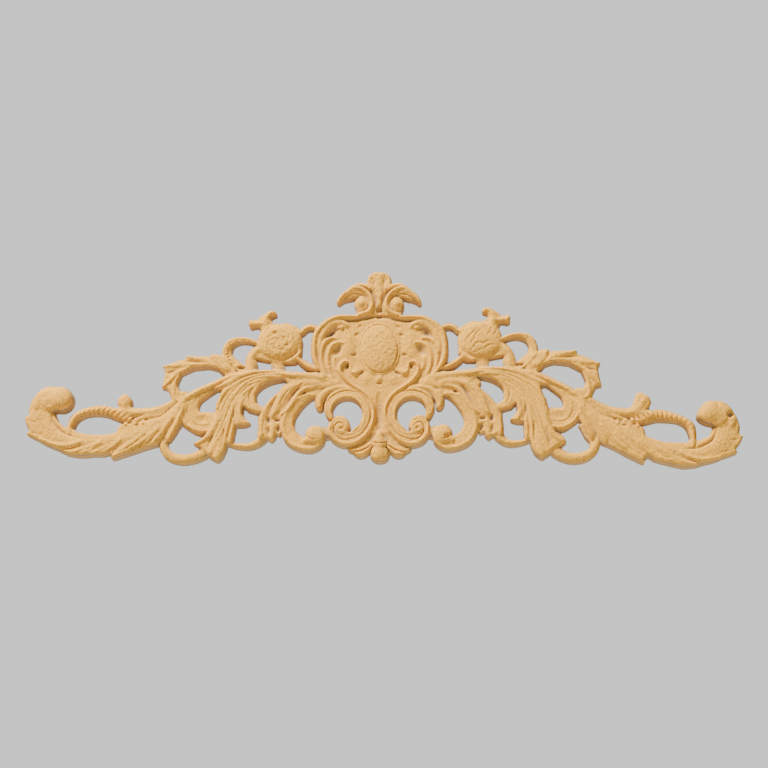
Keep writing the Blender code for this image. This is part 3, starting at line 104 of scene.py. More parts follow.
# a row is name, place, size in metres, power in watts and colour
LAMPS = (
    ("key", (-0.9, -1.0, 1.8), 0.4, 194, (1.0, 1.0, 1.0)),
    ("fill", (1.8, -2.0, -0.3), 1.6, 14, (0.50, 0.80, 1.0)),
    ("back", (0.6, 2.2, 1.4), 1.6, 45, (1.0, 1.0, 1.0)),
)
# the floor's half width and colour
FLOOR_REACH = 30.0
FLOOR_PALE = (0.80, 0.79, 0.77)
FLOOR_ROUGH = 0.9
# colours of the cast wood, of its dark specks, and the painted shade mixed in where it lies in hollows
CAST_WOOD = (0.84, 0.39, 0.036)
SPECKLE = (0.28, 0.148, 0.042)
PAINTED_SHADE_COLOUR = (0.30, 0.20, 0.110)
WOOD_ROUGH = 0.8
WOOD_SHEEN = 0.12
# scale, detail and roughness of the mottling, the grain and the finest spots
MOTTLE = (26, 3, 0.5)
GRAIN_NOISE = (850, 5, 0.70)
SPOTS = (2400, 2, 0.5)
# shares of the colour where the mottling is darkest and lightest
MOTTLE_SHARES = (0.93, 1.07)
# the grain turns from wood into a dark speck between these values
SPECK_FROM = 0.52
SPECK_TO = 0.30
# strength and height of the bumps of the grain and of the spots
COARSE_BUMP = (0.9, 0.0006)
FINE_BUMP = (0.25, 0.00015)
# height of the tallest dome in the drawing, and the heights above in its units
TALLEST = 15.0
LOW_EDGE = TALLEST * EDGE / DEPTH
SOFT_JOIN = TALLEST * FILLET / DEPTH
# the drawing lies inside a sheet that reaches this far from its middle, across and up
SHEET = (285.0, 85.0)
# it is seen a little from the right and from below, so it grows by these shares a unit those ways
NEARER_RIGHT = 0.000034
NEARER_BELOW = 0.000156
# place of the axis of the ornament, and a place well past it
AXIS = -0.6
BEYOND_AXIS = 40.0
# the axis leans by this share a unit of height
LEAN = 0.016
# reach over which the broad forms wear into one another, and over which the outline rounds over
SOFTNESS = 0.45
RIM_ROUND = 1.4
# a flute this wide has its full rise
FULL_FLUTE = 1.5
# pieces of a line from each of its places to the next, its least half width, and that of a thin end
PIECES = 10
THINNEST = 0.05
THIN = 0.4
# how far beside a form its distance is noted too, and how far a pit spreads past its oval
BESIDE = 1.5
PIT_SPREAD = 1.5
FAR = 1e3
# share of a cell that the outline keeps from its corners, and how far outside a crumb counts as
NO_SLIVER = 0.12
CRUMB_OUTSIDE = -0.4
# no front is lower than this share of the edge, and the back is level again within this share of it
LEAST_SHARE = 0.3
NEARLY_FLAT = 0.12


def smooth(q):
    q = np.clip(q, 0.0, 1.0)
    return q * q * (3.0 - 2.0 * q)


def curve(rows):
    """A smooth line through the rows: cubic pieces whose tangents weigh each neighbour by its distance"""
    p = np.array(rows, float)
    gap = np.sqrt(np.hypot(*np.diff(p[:, :2], axis=0).T))
    slope = np.diff(p, axis=0) / gap[:, None]
    inner = (slope[:-1] * gap[1:, None] + slope[1:] * gap[:-1, None]) / (gap[1:] + gap[:-1])[:, None]
    tangent = np.vstack([2 * slope[0] - inner[0], inner, 2 * slope[-1] - inner[-1]])
    out = []
    for i in range(len(gap)):
        q = np.linspace(0, 1, PIECES, endpoint=False)[:, None]
        a, b, m, n = p[i], p[i + 1], tangent[i] * gap[i], tangent[i + 1] * gap[i]
        out.append(a + q * m + q * q * (3 * (b - a) - 2 * m - n) + q ** 3 * (2 * (a - b) + m + n))
    return np.vstack(out + [p[-1:]])


def section(knots, u):
    """Height across a strand, smooth between its knots of place and height"""
    at, high = zip(*knots)
    h = np.full(u.shape, float(high[0]))
    for u0, u1, h0, h1 in zip(at, at[1:], high, high[1:]):
        h += (h1 - h0) * smooth((u - u0) / (u1 - u0))
    return h


def nearest(a, b, px, pz):
    """How far along the run from a to b its nearest place is, and the square of the distance to it"""
    dx, dz = b - a
    ox, oz = px - a[0], pz - a[1]
    q = np.clip((ox * dx + oz * dz) / (dx * dx + dz * dz), 0, 1)
    return q, (ox - q * dx) ** 2 + (oz - q * dz) ** 2


def averaged(field, held, reach):
    """The field blurred along rows and columns, with only the held samples counting"""
    span = int(3 * reach) + 1
    weights = np.exp(-0.5 * (np.arange(-span, span + 1) / reach) ** 2)
    for axis in (0, 1):
        total, weight = np.zeros(field.shape), np.full(field.shape, 1e-9)
        for step, w in zip(range(-span, span + 1), weights):
            total += w * np.roll(np.where(held, field, 0.0), step, axis)
            weight += w * np.roll(held.astype(float), step, axis)
        field = total / weight
        held = weight > 1e-6
    return field


class Relief:
    """A height for each sample of the front, and how far inside the outline the sample is"""

    def __init__(self, x, z, right, pitch):
        self.x, self.z, self.right, self.pitch = x, z, right, pitch
        self.only = None
        self.inside = np.full(x.shape, -FAR)
        self.height = np.zeros(x.shape)

    def near(self, box, reach):
        (x0, z0), (x1, z1) = box
        close = (self.x > x0 - reach) & (self.x < x1 + reach)
        close &= (self.z > z0 - reach) & (self.z < z1 + reach)
        return np.nonzero(close if self.only is None else close & self.only)

    def follow(self, line, reach):
        """The samples near a line, with their distance to its left and the line's half widths there"""
        at = self.near((line[:, :2].min(0), line[:, :2].max(0)), reach)
        px, pz = self.x[at], self.z[at]
        best = np.full(px.shape, np.inf)
        place, side = np.zeros(px.shape), np.ones(px.shape)
        for i, (a, b) in enumerate(zip(line[:, :2], line[1:, :2])):
            q, d2 = nearest(a, b, px, pz)
            dx, dz = b - a
            left = dx * (pz - a[1]) >= dz * (px - a[0])
            closer = d2 < best
            best = np.where(closer, d2, best)
            place = np.where(closer, i + q, place)
            side = np.where(closer, np.where(left, 1.0, -1.0), side)
        keep = best < reach * reach
        at = tuple(a[keep] for a in at)
        place, away = place[keep], (side * np.sqrt(best))[keep]
        widths = [np.interp(place, np.arange(len(line)), column) for column in line[:, 2:].T]
        return at, away, [np.maximum(width, THINNEST) for width in widths]

    def lay(self, at, inside, high, round_over):
        """Adds material: the higher of what is there and what is laid, which rounds over at its border"""
        q = np.clip(inside / round_over, 0, 1)
        high = LOW_EDGE + (high - LOW_EDGE) * np.sqrt(1 - (1 - q) ** 2)
        was = self.height[at]
        blend = np.maximum(SOFT_JOIN - np.abs(was - high), 0) ** 2 / (4 * SOFT_JOIN)
        new = np.maximum(was, high) + np.where(was > 0, blend, 0)
        self.height[at] = np.where(inside > 0, new, was)
        self.inside[at] = np.maximum(self.inside[at], inside)

    def strand(self, rows, knots, round_over=2.0):
        """A band along a line; a row is x, z and half width, or the half widths to its left and right"""
        line = curve([(row[0], row[1], row[2], row[-1]) for row in rows])
        at, away, (left, right) = self.follow(line, line[:, 2:].max() + BESIDE)
        width = np.where(away > 0, left, right)
        u = away / width
        high = section(knots, np.clip(u, -1, 1))
        self.lay(at, width - np.abs(away), high, round_over)

    def band(self, rows, high, fall=1.6, round_over=2.0):
        """A strand that is rounded across, with its sides lower than its middle by the fall"""
        self.strand(rows, [(-1, high - fall), (0, high), (1, high - fall)], round_over)

    def oval(self, x, z, rx, rz, turn, reach):
        """The samples near an oval, with their distance from its middle as a share of its own"""
        at = self.near(((x, z), (x, z)), reach)
        c, s = math.cos(math.radians(turn)), math.sin(math.radians(turn))
        dx, dz = self.x[at] - x, self.z[at] - z
        return at, np.hypot((dx * c + dz * s) / rx, (dz * c - dx * s) / rz)

    def boss(self, x, z, rx, rz, low, high, turn=0.0, power=0.5, round_over=2.0):
        """A domed oval"""
        at, out = self.oval(x, z, rx, rz, turn, max(rx, rz) + BESIDE)
        dome_high = low + (high - low) * np.clip(1 - out ** 2, 0, 1) ** power
        self.lay(at, (1 - out) * min(rx, rz), dome_high, round_over)

    def swell(self, x, z, rx, rz, rise, turn=0.0):
        """A soft mound on what is there, or with a rise below 0 a hollow"""
        at, out = self.oval(x, z, rx, rz, turn, max(rx, rz))
        self.height[at] += rise * smooth(1 - out)

    def pit(self, x, z, rx, rz, deep, turn=0.0):
        at, out = self.oval(x, z, rx, rz, turn, max(rx, rz) * PIT_SPREAD)
        self.height[at] -= deep * smooth(PIT_SPREAD - out)

    def plate(self, rows, high, round_over=2.0):
        """A level area in a closed outline of straight runs; points on the axis are taken across it"""
        rows = [(BEYOND_AXIS if x == 0 else x, z) for x, z in rows]
        line = np.array(rows + rows[:1], float)
        at = self.near((line.min(0), line.max(0)), BESIDE)
        px, pz = self.x[at], self.z[at]
        best = np.full(px.shape, np.inf)
        odd = np.zeros(px.shape, bool)
        for a, b in zip(line, line[1:]):
            best = np.minimum(best, nearest(a, b, px, pz)[1])
            (ax, az), (bx, bz) = a, b
            if az != bz:
                odd ^= ((az > pz) != (bz > pz)) & (px < (bx - ax) * (pz - az) / (bz - az) + ax)
        inside = np.where(odd, np.sqrt(best), -np.sqrt(best))
        self.lay(at, inside, np.full(inside.shape, float(high)), round_over)

    def flutes(self, lines, rise):
        """Soft ridges on what is there, or valleys; where they meet, the stronger counts"""
        most = np.zeros(self.x.shape)
        for rows in lines:
            line = curve(rows)
            at, away, (width,) = self.follow(line, line[:, 2].max())
            high = np.minimum(width / FULL_FLUTE, 1) * smooth(1 - np.abs(away) / width)
            most[at] = np.maximum(most[at], high)
        self.height += rise * most

    def groove(self, rows, deep, floor=LOW_EDGE):
        """A cut along a line; a row is x, z and half width, or x and z alone where the cut is thin"""
        line = curve([(*row, THIN)[:3] for row in rows])
        at, away, (width,) = self.follow(line, line[:, 2].max())
        cut = deep * np.minimum(width / line[:, 2].max(), 1) * smooth(1 - np.abs(away) / width)
        self.height[at] = np.maximum(self.height[at] - cut, np.minimum(self.height[at], floor))

    def soften(self, reach):
        """Wears the carving down: every height becomes an average over its neighbours on the piece"""
        held = self.inside > 0
        self.height = np.where(held, averaged(self.height, held, reach / self.pitch), self.height)

    def rim_distance(self, reach):
        """How far each sample is from the outline of the whole piece, up to a reach"""
        span = int(reach / self.pitch) + 1
        outside = self.inside <= 0
        away = np.where(outside, np.maximum(self.inside, -self.pitch), 2 * reach)
        least = np.full(self.x.shape, float(reach))
        for i in range(-span, span + 1):
            for j in range(-span, span + 1):
                step = self.pitch * math.hypot(i, j)
                if step < reach + self.pitch:
                    least = np.minimum(least, step + np.roll(away, (i, j), (0, 1)))
        return np.where(outside, 0.0, np.maximum(least, 0.0))

    def round_rim(self, reach, low):
        """Rounds the carving over towards the outline of the whole piece"""
        q = self.rim_distance(reach) / reach
        edge = np.minimum(self.height, low)
        self.height = edge + (self.height - edge) * np.sqrt(1 - (1 - q) ** 2)


# both halves share the axis this near it, and each has its own this much further out
ONE_AXIS = 35
TWO_HALVES = 25
# how loosely the right half follows its places, and how near the axis it starts to
SLACK = 60
NO_PULL = 15
# where places of the right half sit against the mirror image of the left: across, up, outwards, up
RIGHT_HALF = (
    (15, 60, -0.6, 0), (26, 52, -0.9, -0.2), (15, 0, -0.6, 0), (15, -60, -0.6, 0), (45, 33, -0.6, 0.8),
    (48, -25, -0.8, 1.2), (14, -30, -0.6, 0.2), (57, -35, -2.0, 1.2), (69, -35, -0.6, 1.6),
    (60, -45, -1.9, 1.2), (66, -28, -0.6, 1.5), (73, 36, -1.0, 2.2), (80, 10, -0.4, 2.4),
    (90, 33, -0.9, 3.4), (55, 18, 0, 1.0), (47, 16, -0.5, 0.8),
    (80, -15, -0.5, 2.5), (85, -52, -1.0, 2.0), (100, -44, -2.4, 2.5), (108, -58, -2.6, 2.5),
    (114, -63, -1.2, 2.0), (130, -63, -4.0, 1.2), (87, -40, 1.0, 2.5), (91.5, -35, -0.4, 2.6),
    (98.5, -38, -0.8, 2.6), (95, -26, -1.0, 2.2),
    (131, -50, -0.6, 1.6), (148, -50, 0, 1.5), (154, -55, -1.3, 1.0), (139, -39, -0.5, 3.0),
    (115, -19, 0.6, 3.5), (118, -26, 2.4, 3.5),
    (128, -22, 0.6, 3.0), (110, 17, -0.2, 3.4), (97, 6, 0.3, 2.3), (116, 15, -1.0, 3.6),
    (137, 14.5, 1.6, 4.2),
    (154.5, 5, 1.9, 2.3), (155.5, -10, 2.0, 2.0), (149, -19, 2.2, 2.0), (143, -8, 1.8, 1.8),
    (138, -12, 1.4, 3.0), (113, -1, 2.4, 3.0),
    (165, -57, -3.0, 0.4), (172, -61.5, -3.0, -1.3), (184, -66, -3.2, -3.4), (188, -61.5, -3.3, -1.2),
    (196, -66, -2.0, -4.9), (170, -27, 0.5, 0.2), (182, -16, 3.8, 1.2),
    (190, -22, 5.0, -1.0), (195, -28, 3.0, -2.0), (215, -34, 2.8, -4.2), (221, -40, 2.5, -4.4),
    (184, -40, 2.5, -1.6),
    (198, -37.5, 0.5, -4.5), (200, -49.5, 0, -4.8), (216, -48, 2.6, -6.9), (222.5, -48.5, 1.5, -9.0),
    (231, -41, 4.5, -8.6),
    (221, -30, 7.4, -9.9), (233, -20.5, 8.0, -9.2), (245, -27, 6.2, -11.0), (252, -42, 5.8, -12.8),
    (231, -46, 4.8, -11.4), (249, -56, 2.6, -12.2),
    (238, -63, -1.0, -11.8), (222, -68, 1.0, -8.0), (213, -69, 0, -7.7), (205, -68, -1.0, -6.0),
)


def spread(r2):
    """How the pull of a place falls off with the square of the distance to it"""
    return r2 * np.log(r2 + 1e-9)


def drawing_place(x, z):
    """Where each place of the sheet lies in the drawing of the left half"""
    nearer = 1 - NEARER_RIGHT * x + NEARER_BELOW * z
    x, z = (x + LEAN * z) / nearer + AXIS, z / nearer
    across = np.abs(x)
    middle = 1 - np.clip((across - ONE_AXIS) / TWO_HALVES, 0, 1)
    at = np.array([row[:2] for row in RIGHT_HALF], float)
    n = len(at)
    gap = ((at[:, None] - at[None]) ** 2).sum(2)
    system = np.zeros((n + 3, n + 3))
    system[:n, :n] = spread(gap) + SLACK * np.eye(n)
    system[:n, n:] = np.column_stack([np.ones(n), at])
    system[n:, :n] = system[:n, n:].T
    wanted = np.zeros((n + 3, 2))
    wanted[:n] = [row[2:] for row in RIGHT_HALF]
    pull = np.linalg.solve(system, wanted)
    out = pull[n, 0] + pull[n + 1, 0] * across + pull[n + 2, 0] * z
    up = pull[n, 1] + pull[n + 1, 1] * across + pull[n + 2, 1] * z
    for (ax, az), (wo, wu) in zip(at, pull[:n]):
        k = spread((across - ax) ** 2 + (z - az) ** 2)
        out = out + wo * k
        up = up + wu * k
    fade = np.clip(across / NO_PULL, 0, 1)
    right = x > AXIS
    mx = np.where(right, (out - AXIS) * fade - (x - AXIS), x - AXIS * middle)
    return np.minimum(mx, 0), np.where(right, z - up * fade, z)


# the oval: height of its middle, radii of the boss, of its hammered field and of the shadow line on it
OVAL_UP = 14.6
OVAL_BOSS = (13.2, 17.2)
HAMMERED_FIELD = (12.6, 16.6)
OVAL_SHADOW = (12.5, 16.5)
# the rim round it lies this much further out than that line; both turn by these steps
OVAL_RIM = (1.09, 1.07)
OVAL_TURNS = np.arange(0, 6.3, 0.3)
# the left flower: its middle, its flatness, its rings as start and count, and how each is turned
FLOWER_AT = (-71, 19.5)
FLOWER_FLAT = 0.85
PETAL_RINGS = ((3, 5), (7.6, 8))
PETAL_TWIST = 0.35
# ridge of a petal: a row is how far out, how far round and half width
PETAL = ((0, -0.5, 1.2), (2, 0, 2.2), (2.6, 0.5, 1.2))
# lines that strands follow; a row is x, z and half width
BEAD_LINE = ((-87.5, 18.8, 0.6), (-95.8, 20.2, 0.7), (-102.5, 19.4, 0.8), (-106.6, 16.2, 0.9),
             (-107.8, 11.8, 1.1), (-106, 6.8, 1.4), (-103.6, 2.8, 1.8))
RIM = ((-20.8, 4.8, 0.9), (-24.2, 5.7, 1.4), (-27.2, 3, 1.7), (-27.4, -1.5, 1.7), (-24, -6.5, 1.6),
       (-18, -11.3, 1.5), (-10.6, -16, 1.4), (-5.8, -22, 1.3), (-3.8, -30, 1.3), (-5.2, -38, 1.4),
       (-9.4, -45, 1.5), (-16.5, -50.3, 1.7), (-24, -51.8, 1.9), (-30.5, -49.5, 2), (-34.6, -44.3, 1.9),
       (-34.6, -39.5, 1.7))
BAND = ((-34.3, -33, 2.3), (-35.8, -26.4, 3.3), (-32, -19.6, 3.9), (-24.5, -16.4, 3.9), (-16, -18, 3.8),
        (-10, -24.4, 3.6), (-8.6, -33, 3.8), (-11.9, -41.3, 4.4), (-19, -45.8, 4.6), (-26.5, -46.2, 4.5),
        (-32, -42.6, 3.6), (-32.3, -37.8, 3.4), (-28.6, -34.7, 3.1), (-24.5, -36.1, 2.8),
        (-22.2, -40, 1.8))
LOOP = ((-86.5, 18.6, 1.8), (-91.5, 20.7, 1.8), (-98.2, 21.2, 2.1), (-105.1, 18.7, 2.9),
        (-107.8, 12.6, 3.5), (-105.7, 7, 3.8), (-100.8, 3.2, 3.6), (-96.5, -0.5, 3.6))
# ribs of the great leaf, of which the first ones stand highest
HIGH_RIBS = 5
LEAF = (
    ((-40, -5.5, 3.5), (-60, -3.6, 2.6), (-78, -1.8, 2.2), (-90, -2.4, 2.1), (-100, -5.4, 2.2),
     (-108, -10, 2.2), (-115.8, -13, 0.9)),
    ((-60, -4.6, 1.6), (-78, -3.4, 1.9), (-92, -5, 2), (-102, -9.8, 2.2), (-108.6, -15, 2.3),
     (-112.2, -21, 1.8), (-113.9, -27, 1.4)),
    ((-70, -5.4, 1.2), (-86, -5.4, 1.7), (-96, -9.6, 1.9), (-103.6, -16, 2.2), (-108.8, -24, 2.5),
     (-112.8, -33, 2.8), (-117.6, -42, 2.7), (-122.6, -48.2, 2.2), (-129.3, -51.7, 0.9)),
    ((-84, -7.2, 1), (-93, -10.3, 1.6), (-100, -16.4, 1.9), (-104.6, -24, 2.3), (-108.6, -34, 2.6),
     (-112, -43, 2.8), (-115.4, -51, 3.2), (-119.4, -58, 2.6)),
    ((-90, -12.2, 0.9), (-96.5, -17.4, 1.5), (-101, -24.5, 2), (-105, -34, 2.2), (-107.6, -43, 2),
     (-110.2, -50, 2.4), (-112.6, -56, 3.4), (-115, -61.5, 2.4)),
    ((-102.2, -33, 1), (-103.8, -40, 1.9), (-104.8, -46, 1.9), (-105.2, -50.2, 1.2)),
    ((-93.5, -17, 0.8), (-97.2, -22.5, 1.5), (-98.8, -28.5, 2), (-98.6, -33.4, 2.4), (-96.4, -36.9, 2.1),
     (-92.4, -37, 0.8)),
)
# ribs of the upper leaf
UPPER = (
    ((-107, 1, 2.6), (-113, 5.2, 3.2), (-117, 8.8, 1.6), (-118.4, 10.6, 0.7)),
    ((-108, -0.2, 1.6), (-119, 5, 2.6), (-128, 6.8, 2.4), (-135.8, 9.2, 0.9)),
    ((-114, 2.2, 1), (-126, 3.6, 1.7), (-138, 2.8, 2.3), (-145, 2.6, 1.7), (-152, 2.6, 0.7)),
    ((-133, 1.4, 1), (-142.4, -2.4, 2.2), (-146.6, -7, 2.2), (-149.8, -10.2, 1.5), (-153, -12, 0.7)),
    ((-140.9, -4, 0.8), (-144, -9.6, 1.6), (-144.8, -15, 1.8), (-144.2, -20, 1.5), (-141, -22, 1)),
)
# lobes along the foot of the wing
LOBES = (
    ((-139, -29, 2), (-142.2, -36, 2.4), (-145.6, -42.5, 2.4), (-148.6, -49.2, 0.9)),
    ((-146, -34, 2.4), (-151.5, -41, 3.2), (-156.5, -47, 3.4), (-159.5, -51, 1.6)),
    ((-155, -40, 2.4), (-162, -47, 3.2), (-169, -51.6, 2.6), (-175, -54.6, 1.2)),
    ((-166, -45, 2.2), (-175, -52.4, 3.4), (-183, -57.8, 2.8), (-188, -61.2, 1)),
    ((-182, -49, 2.2), (-190, -54.6, 2.8), (-198.5, -57.4, 2.2), (-204, -58.4, 1)),
    ((-196, -51, 2.4), (-205, -55.8, 3.2), (-214, -57.4, 2.4), (-221, -57.2, 1.2)),
    ((-210, -50.6, 2.2), (-222, -53.4, 2.8), (-232, -51.2, 2.2), (-239, -48.6, 1.2)),
)
# rope over the eye of the wing
ROPE = (
    (-171, -35.4, 2.2), (-178, -34.4, 2.8), (-185, -31.1, 3.6), (-192, -28.5, 3.6), (-200, -28.1, 3.2),
    (-208.4, -29.7, 2.9), (-214.6, -33.6, 2.8), (-217.6, -39.4, 2.5), (-218, -45, 2),
)
# twist of the rope: its first cut, the next ones, how deep, how far across, how slanted, where it fades
ROPE_START = 3.0
ROPE_STEP = 3.4
ROPE_DEEP = 1.2
ROPE_REACH = 0.85
ROPE_SLANT = 0.45
ROPE_FADE = 1.9


def centre(r):
    # field of the cartouche, then its rolled border
    r.plate([(0, 39), (-16, 38), (-30, 38.3), (-39.5, 34), (-46.2, 26.6), (-48.5, 16), (-47, 5),
             (-41, -2.5), (-30, -9), (-18, -15), (-9, -22), (-7.5, -34), (-9, -44), (0, -52)], 9.4, 1.5)
    r.band([(-15, 37.2, 1.6), (-23, 37.2, 1.9), (-30, 36.7, 2.2), (-38.2, 32.4, 2.4), (-44.2, 25.4, 2.5),
            (-46, 16, 2.5), (-45, 6.5, 2.4), (-40.5, -1, 1.8), (-37, -4.5, 1.3)], 12, 1.6)
    # broad lip at the top left that curls over a pocket
    r.band([(-42, 12, 1.6), (-41.5, 21, 2.8), (-38.2, 28, 3.6), (-33.5, 32.4, 3.4), (-27.5, 33.4, 2.8),
            (-23, 31, 2.2)], 11, 1)
    r.swell(-33.4, 25.6, 7, 3.6, -3, 40)
    r.boss(-26.4, 29.4, 2.6, 2, 9, 11.2, 20)
    # nested flutes of the left side
    r.band([(-37.4, -2.5, 1), (-40.6, 6, 1.7), (-40.4, 14.5, 1.9), (-37.6, 20, 1.7), (-33.4, 22.2, 1.3),
            (-29.5, 21.6, 0.8)], 11.4, 1.2)
    r.band([(-32.6, -4.5, 1), (-35.8, 3, 1.9), (-35.8, 11.2, 2.1), (-33, 17, 1.9), (-28.8, 19.2, 1.4),
            (-24.6, 18.4, 0.8)], 11.2, 1.2)
    r.band([(-28.5, -1.5, 1.2), (-31.3, 3.5, 1.7), (-31, 9, 1.6)], 10.6, 1)
    r.swell(-29.2, 13.4, 6.4, 3.8, -2.4, 60)
    r.swell(-21.5, 17, 7.5, 15, 1.2)
    # oval boss with its raised border
    r.boss(AXIS, OVAL_UP, *OVAL_BOSS, 10.2, 13, power=0.6, round_over=1)
    # long rim that runs from its own small curl round the big volute to the eye
    r.band(RIM, 12.3, 1.8)
    r.band([(-23.2, 5.4, 0.9), (-20.2, 3.2, 1.2), (-19.8, -0.6, 1.5), (-17, -2.6, 1.9)], 11.2)
    r.swell(-15.6, -1, 4.4, 3.6, 1.4)
    r.swell(-9, -6, 8, 6, 0.7, 20)
    r.swell(AXIS, -6, 2.2, 4, 1.6)


def centre_lines(r):
    # rim round the oval, clearest at its lower right, with the shadow line inside it
    wide, high = OVAL_SHADOW
    shadow = [(AXIS + wide * np.cos(a), OVAL_UP + high * np.sin(a), 0.8) for a in OVAL_TURNS]
    r.flutes([shadow], -0.9)
    wider, higher = OVAL_RIM
    rim = [(AXIS + (x - AXIS) * wider, OVAL_UP + (z - OVAL_UP) * higher, 0.9) for x, z, _ in shadow]
    r.flutes([rim], 1.1)
    r.pit(-22.4, 3, 1, 2.4, 2, -8)
    r.pit(-12.6, -2, 2.2, 0.9, 1.4, 35)
    r.pit(-17.9, 10.6, 1.7, 0.9, 1.1, 8)
    r.pit(-15.8, 24.6, 1.6, 1.1, 0.9, 25)
    r.pit(-13.6, 30.4, 1.6, 1, 0.7, 40)
    r.pit(AXIS, -9.4, 1.3, 0.9, 0.9)
    r.groove([(-24.4, 28), (-27.4, 28.6, 0.8), (-30, 27.8, 0.7)], 1)
    # shadow line under the crown, and the valley between the volutes
    r.groove([(-24, 34.3, 0.7), (-18, 34.4, 1.4), (-12, 35.4, 1.8), (-5, 36.8, 1.9), (0.6, 37.2, 1.7)],
             2, 8)
    r.groove([(AXIS, -16, 1), (AXIS, -24, 3), (AXIS, -34, 4), (AXIS, -43, 2.6)], 1.7, 7.6)


def volute(r):
    # leaf over the volute, then its broad band with a line round the eye
    r.band([(-42.3, -26, 2.6), (-42, -20.5, 3.7), (-36.5, -14.6, 3.2), (-28.5, -12.3, 2.4),
            (-20, -12.6, 1.2)], 11, 1.4)
    r.strand(BAND, [(-1, 10.2), (-0.84, 11.6), (-0.45, 11.2), (0, 10.7), (0.45, 11), (0.85, 10.8),
                    (1, 10)], 1.6)
    r.boss(-26.8, -40.8, 5.4, 5.2, 10, 12, power=0.6)
    r.boss(-30.8, -9.4, 3.4, 3, 9.6, 10.4)
    # shell at the foot
    r.plate([(0, -28), (-3.5, -37), (-8.5, -45), (-16, -51), (-23.8, -53.2), (-20.8, -55.8), (-10, -57),
             (0, -57)], 9, 1.5)
    r.band([(-3.5, -49, 1), (-9, -53.5, 1.9), (-16, -56, 2.1), (-21.2, -55.3, 1.3)], 10)
    r.band([(-3, -50, 1), (-7.5, -55, 2), (-12.5, -58.4, 2.5), (-16.8, -57.8, 1.6)], 10.6)
    r.boss(-13, -58.3, 4.1, 2.4, 8.8, 10.6, 12)
    r.band([(AXIS, -50, 2.2), (AXIS, -54, 3.6), (AXIS, -57.2, 5), (AXIS, -59.2, 4.6)], 12.2, 1.6)
    r.boss(AXIS, -58.2, 6.3, 6.2, 9.4, 11, power=0.6)
    # crest above the shell
    r.band([(AXIS, -42.6, 0.7), (AXIS, -45, 1.6), (AXIS, -47.6, 2.6), (AXIS, -49.6, 3.9),
            (AXIS, -50.6, 4.6)], 12.2, 0.8, 0.8)


def volute_lines(r):
    r.groove([(-14.6, -45.8), (-20.5, -48.4, 0.8), (-26.5, -48.6, 0.9), (-31, -45.2, 1), (-31.8, -40.6, 1),
              (-29.4, -37.4, 0.9), (-25.8, -37.8, 0.8), (-24.6, -40.6, 0.7)], 1.2, 8)
    r.groove([(-20, -13.4), (-13.2, -17.2, 0.7), (-8.2, -22.8, 0.8), (-6.1, -30, 0.9), (-7.5, -37.4, 0.9),
              (-11.4, -43.6, 0.8), (-17, -48)], 1.3, 8)
    r.groove([(-36.8, -27), (-36.4, -22.6, 0.8), (-31.6, -17.6, 0.9), (-24.5, -15, 0.9), (-17, -15.8, 0.7),
              (-12.4, -18.8)], 1)
    r.groove([(-13.6, -24.6), (-11.6, -30, 0.8), (-12.2, -36.4, 0.9), (-15.6, -41.6, 0.8), (-20, -43.8)],
             0.8)
    r.pit(-26.9, -41.3, 1.4, 1.2, 0.9)
    r.groove([(-2, -51.8), (-3.2, -56, 0.7), (-3.8, -60.5)], 0.35)
    r.groove([(-4.6, -53.6), (-6.6, -57.4, 0.9), (-7, -60.6, 0.7)], 1.6, 8)
    r.groove([(-4.6, -51.4), (-10.5, -55.4, 0.8), (-17.5, -57.4, 0.6)], 1.3, 8)
    r.groove([(AXIS, -51.6, 0.7), (-3, -51.3, 0.9), (-5.5, -50.3, 0.7)], 1, 8)
    for x in (-0.6, -2.3, -4):
        r.boss(x, -49.9, 0.9, 0.9, 10.6, 12)


def crown(r):
    r.plate([(0, 36.5), (-16.2, 37.2), (-16.6, 43), (-16, 47), (-13, 52), (-6, 59), (0, 66)], 9.4, 2.5)
    # middle leaf with its rib
    r.plate([(0, 44), (-2.2, 50), (-5.5, 56), (-8.9, 60), (-8.6, 63.4), (-7.2, 66.4), (-4.6, 68.2),
             (-2, 68.8), (0, 68.8)], 11, 1.6)
    r.swell(-4.4, 62.6, 3.2, 6.5, -1.3, 12)
    r.band([(AXIS, 44, 1.4), (AXIS, 52, 1.3), (AXIS, 60, 0.9), (AXIS, 66, 0.6)], 11.8, 1.4)
    # side leaf, and the lip that runs in from it and curls round the bead
    r.strand([(-9, 56.2, 4.4), (-15, 55.9, 5), (-20.5, 53.4, 4), (-25.3, 51, 2.8), (-28.6, 47.6, 1.5)],
             [(-1, 10.6), (-0.5, 11.3), (0.2, 10.2), (0.7, 9.4), (1, 8.4)])
    r.band([(-18, 57.4, 1.2), (-12.5, 56.6, 1.8), (-7.8, 53.4, 2.1), (-5.2, 48.8, 2.1), (-5, 44.6, 2.2),
            (-7.2, 41, 2.2), (-10.6, 39.4, 1.8), (-14.4, 38.6, 1.4)], 11.9, 1.4)
    r.boss(-12, 46, 5.6, 5.6, 9.4, 10.6, power=0.7)
    r.boss(-12.6, 46.4, 3.2, 3.2, 10.2, 11.7, power=0.7)


def crown_lines(r):
    r.groove([(-1.9, 46), (-2.7, 52, 0.9), (-3.2, 58.5, 1), (-3, 63, 0.6)], 0.7)
    r.groove([(-15.7, 59), (-10.5, 57.6, 0.9), (-6.6, 55, 1), (-4, 50.6, 0.8), (-3, 46.4, 0.5)], 1.1, 8)
    r.groove([(-20, 53.2), (-15, 52.8, 0.9), (-10.6, 51.4, 1.1), (-7.8, 47.6, 1.1), (-7.8, 43.8, 1),
              (-10.4, 41.4, 0.9), (-14, 40.8, 0.5)], 0.5, 8)
    r.groove([(-26.6, 48.2), (-22, 51.6, 0.8), (-16.5, 53.4, 0.5)], 0.9)
    r.pit(AXIS, 41.6, 1.3, 2.4, 2)
    r.pit(AXIS, 37, 1.3, 1.3, 1.2)


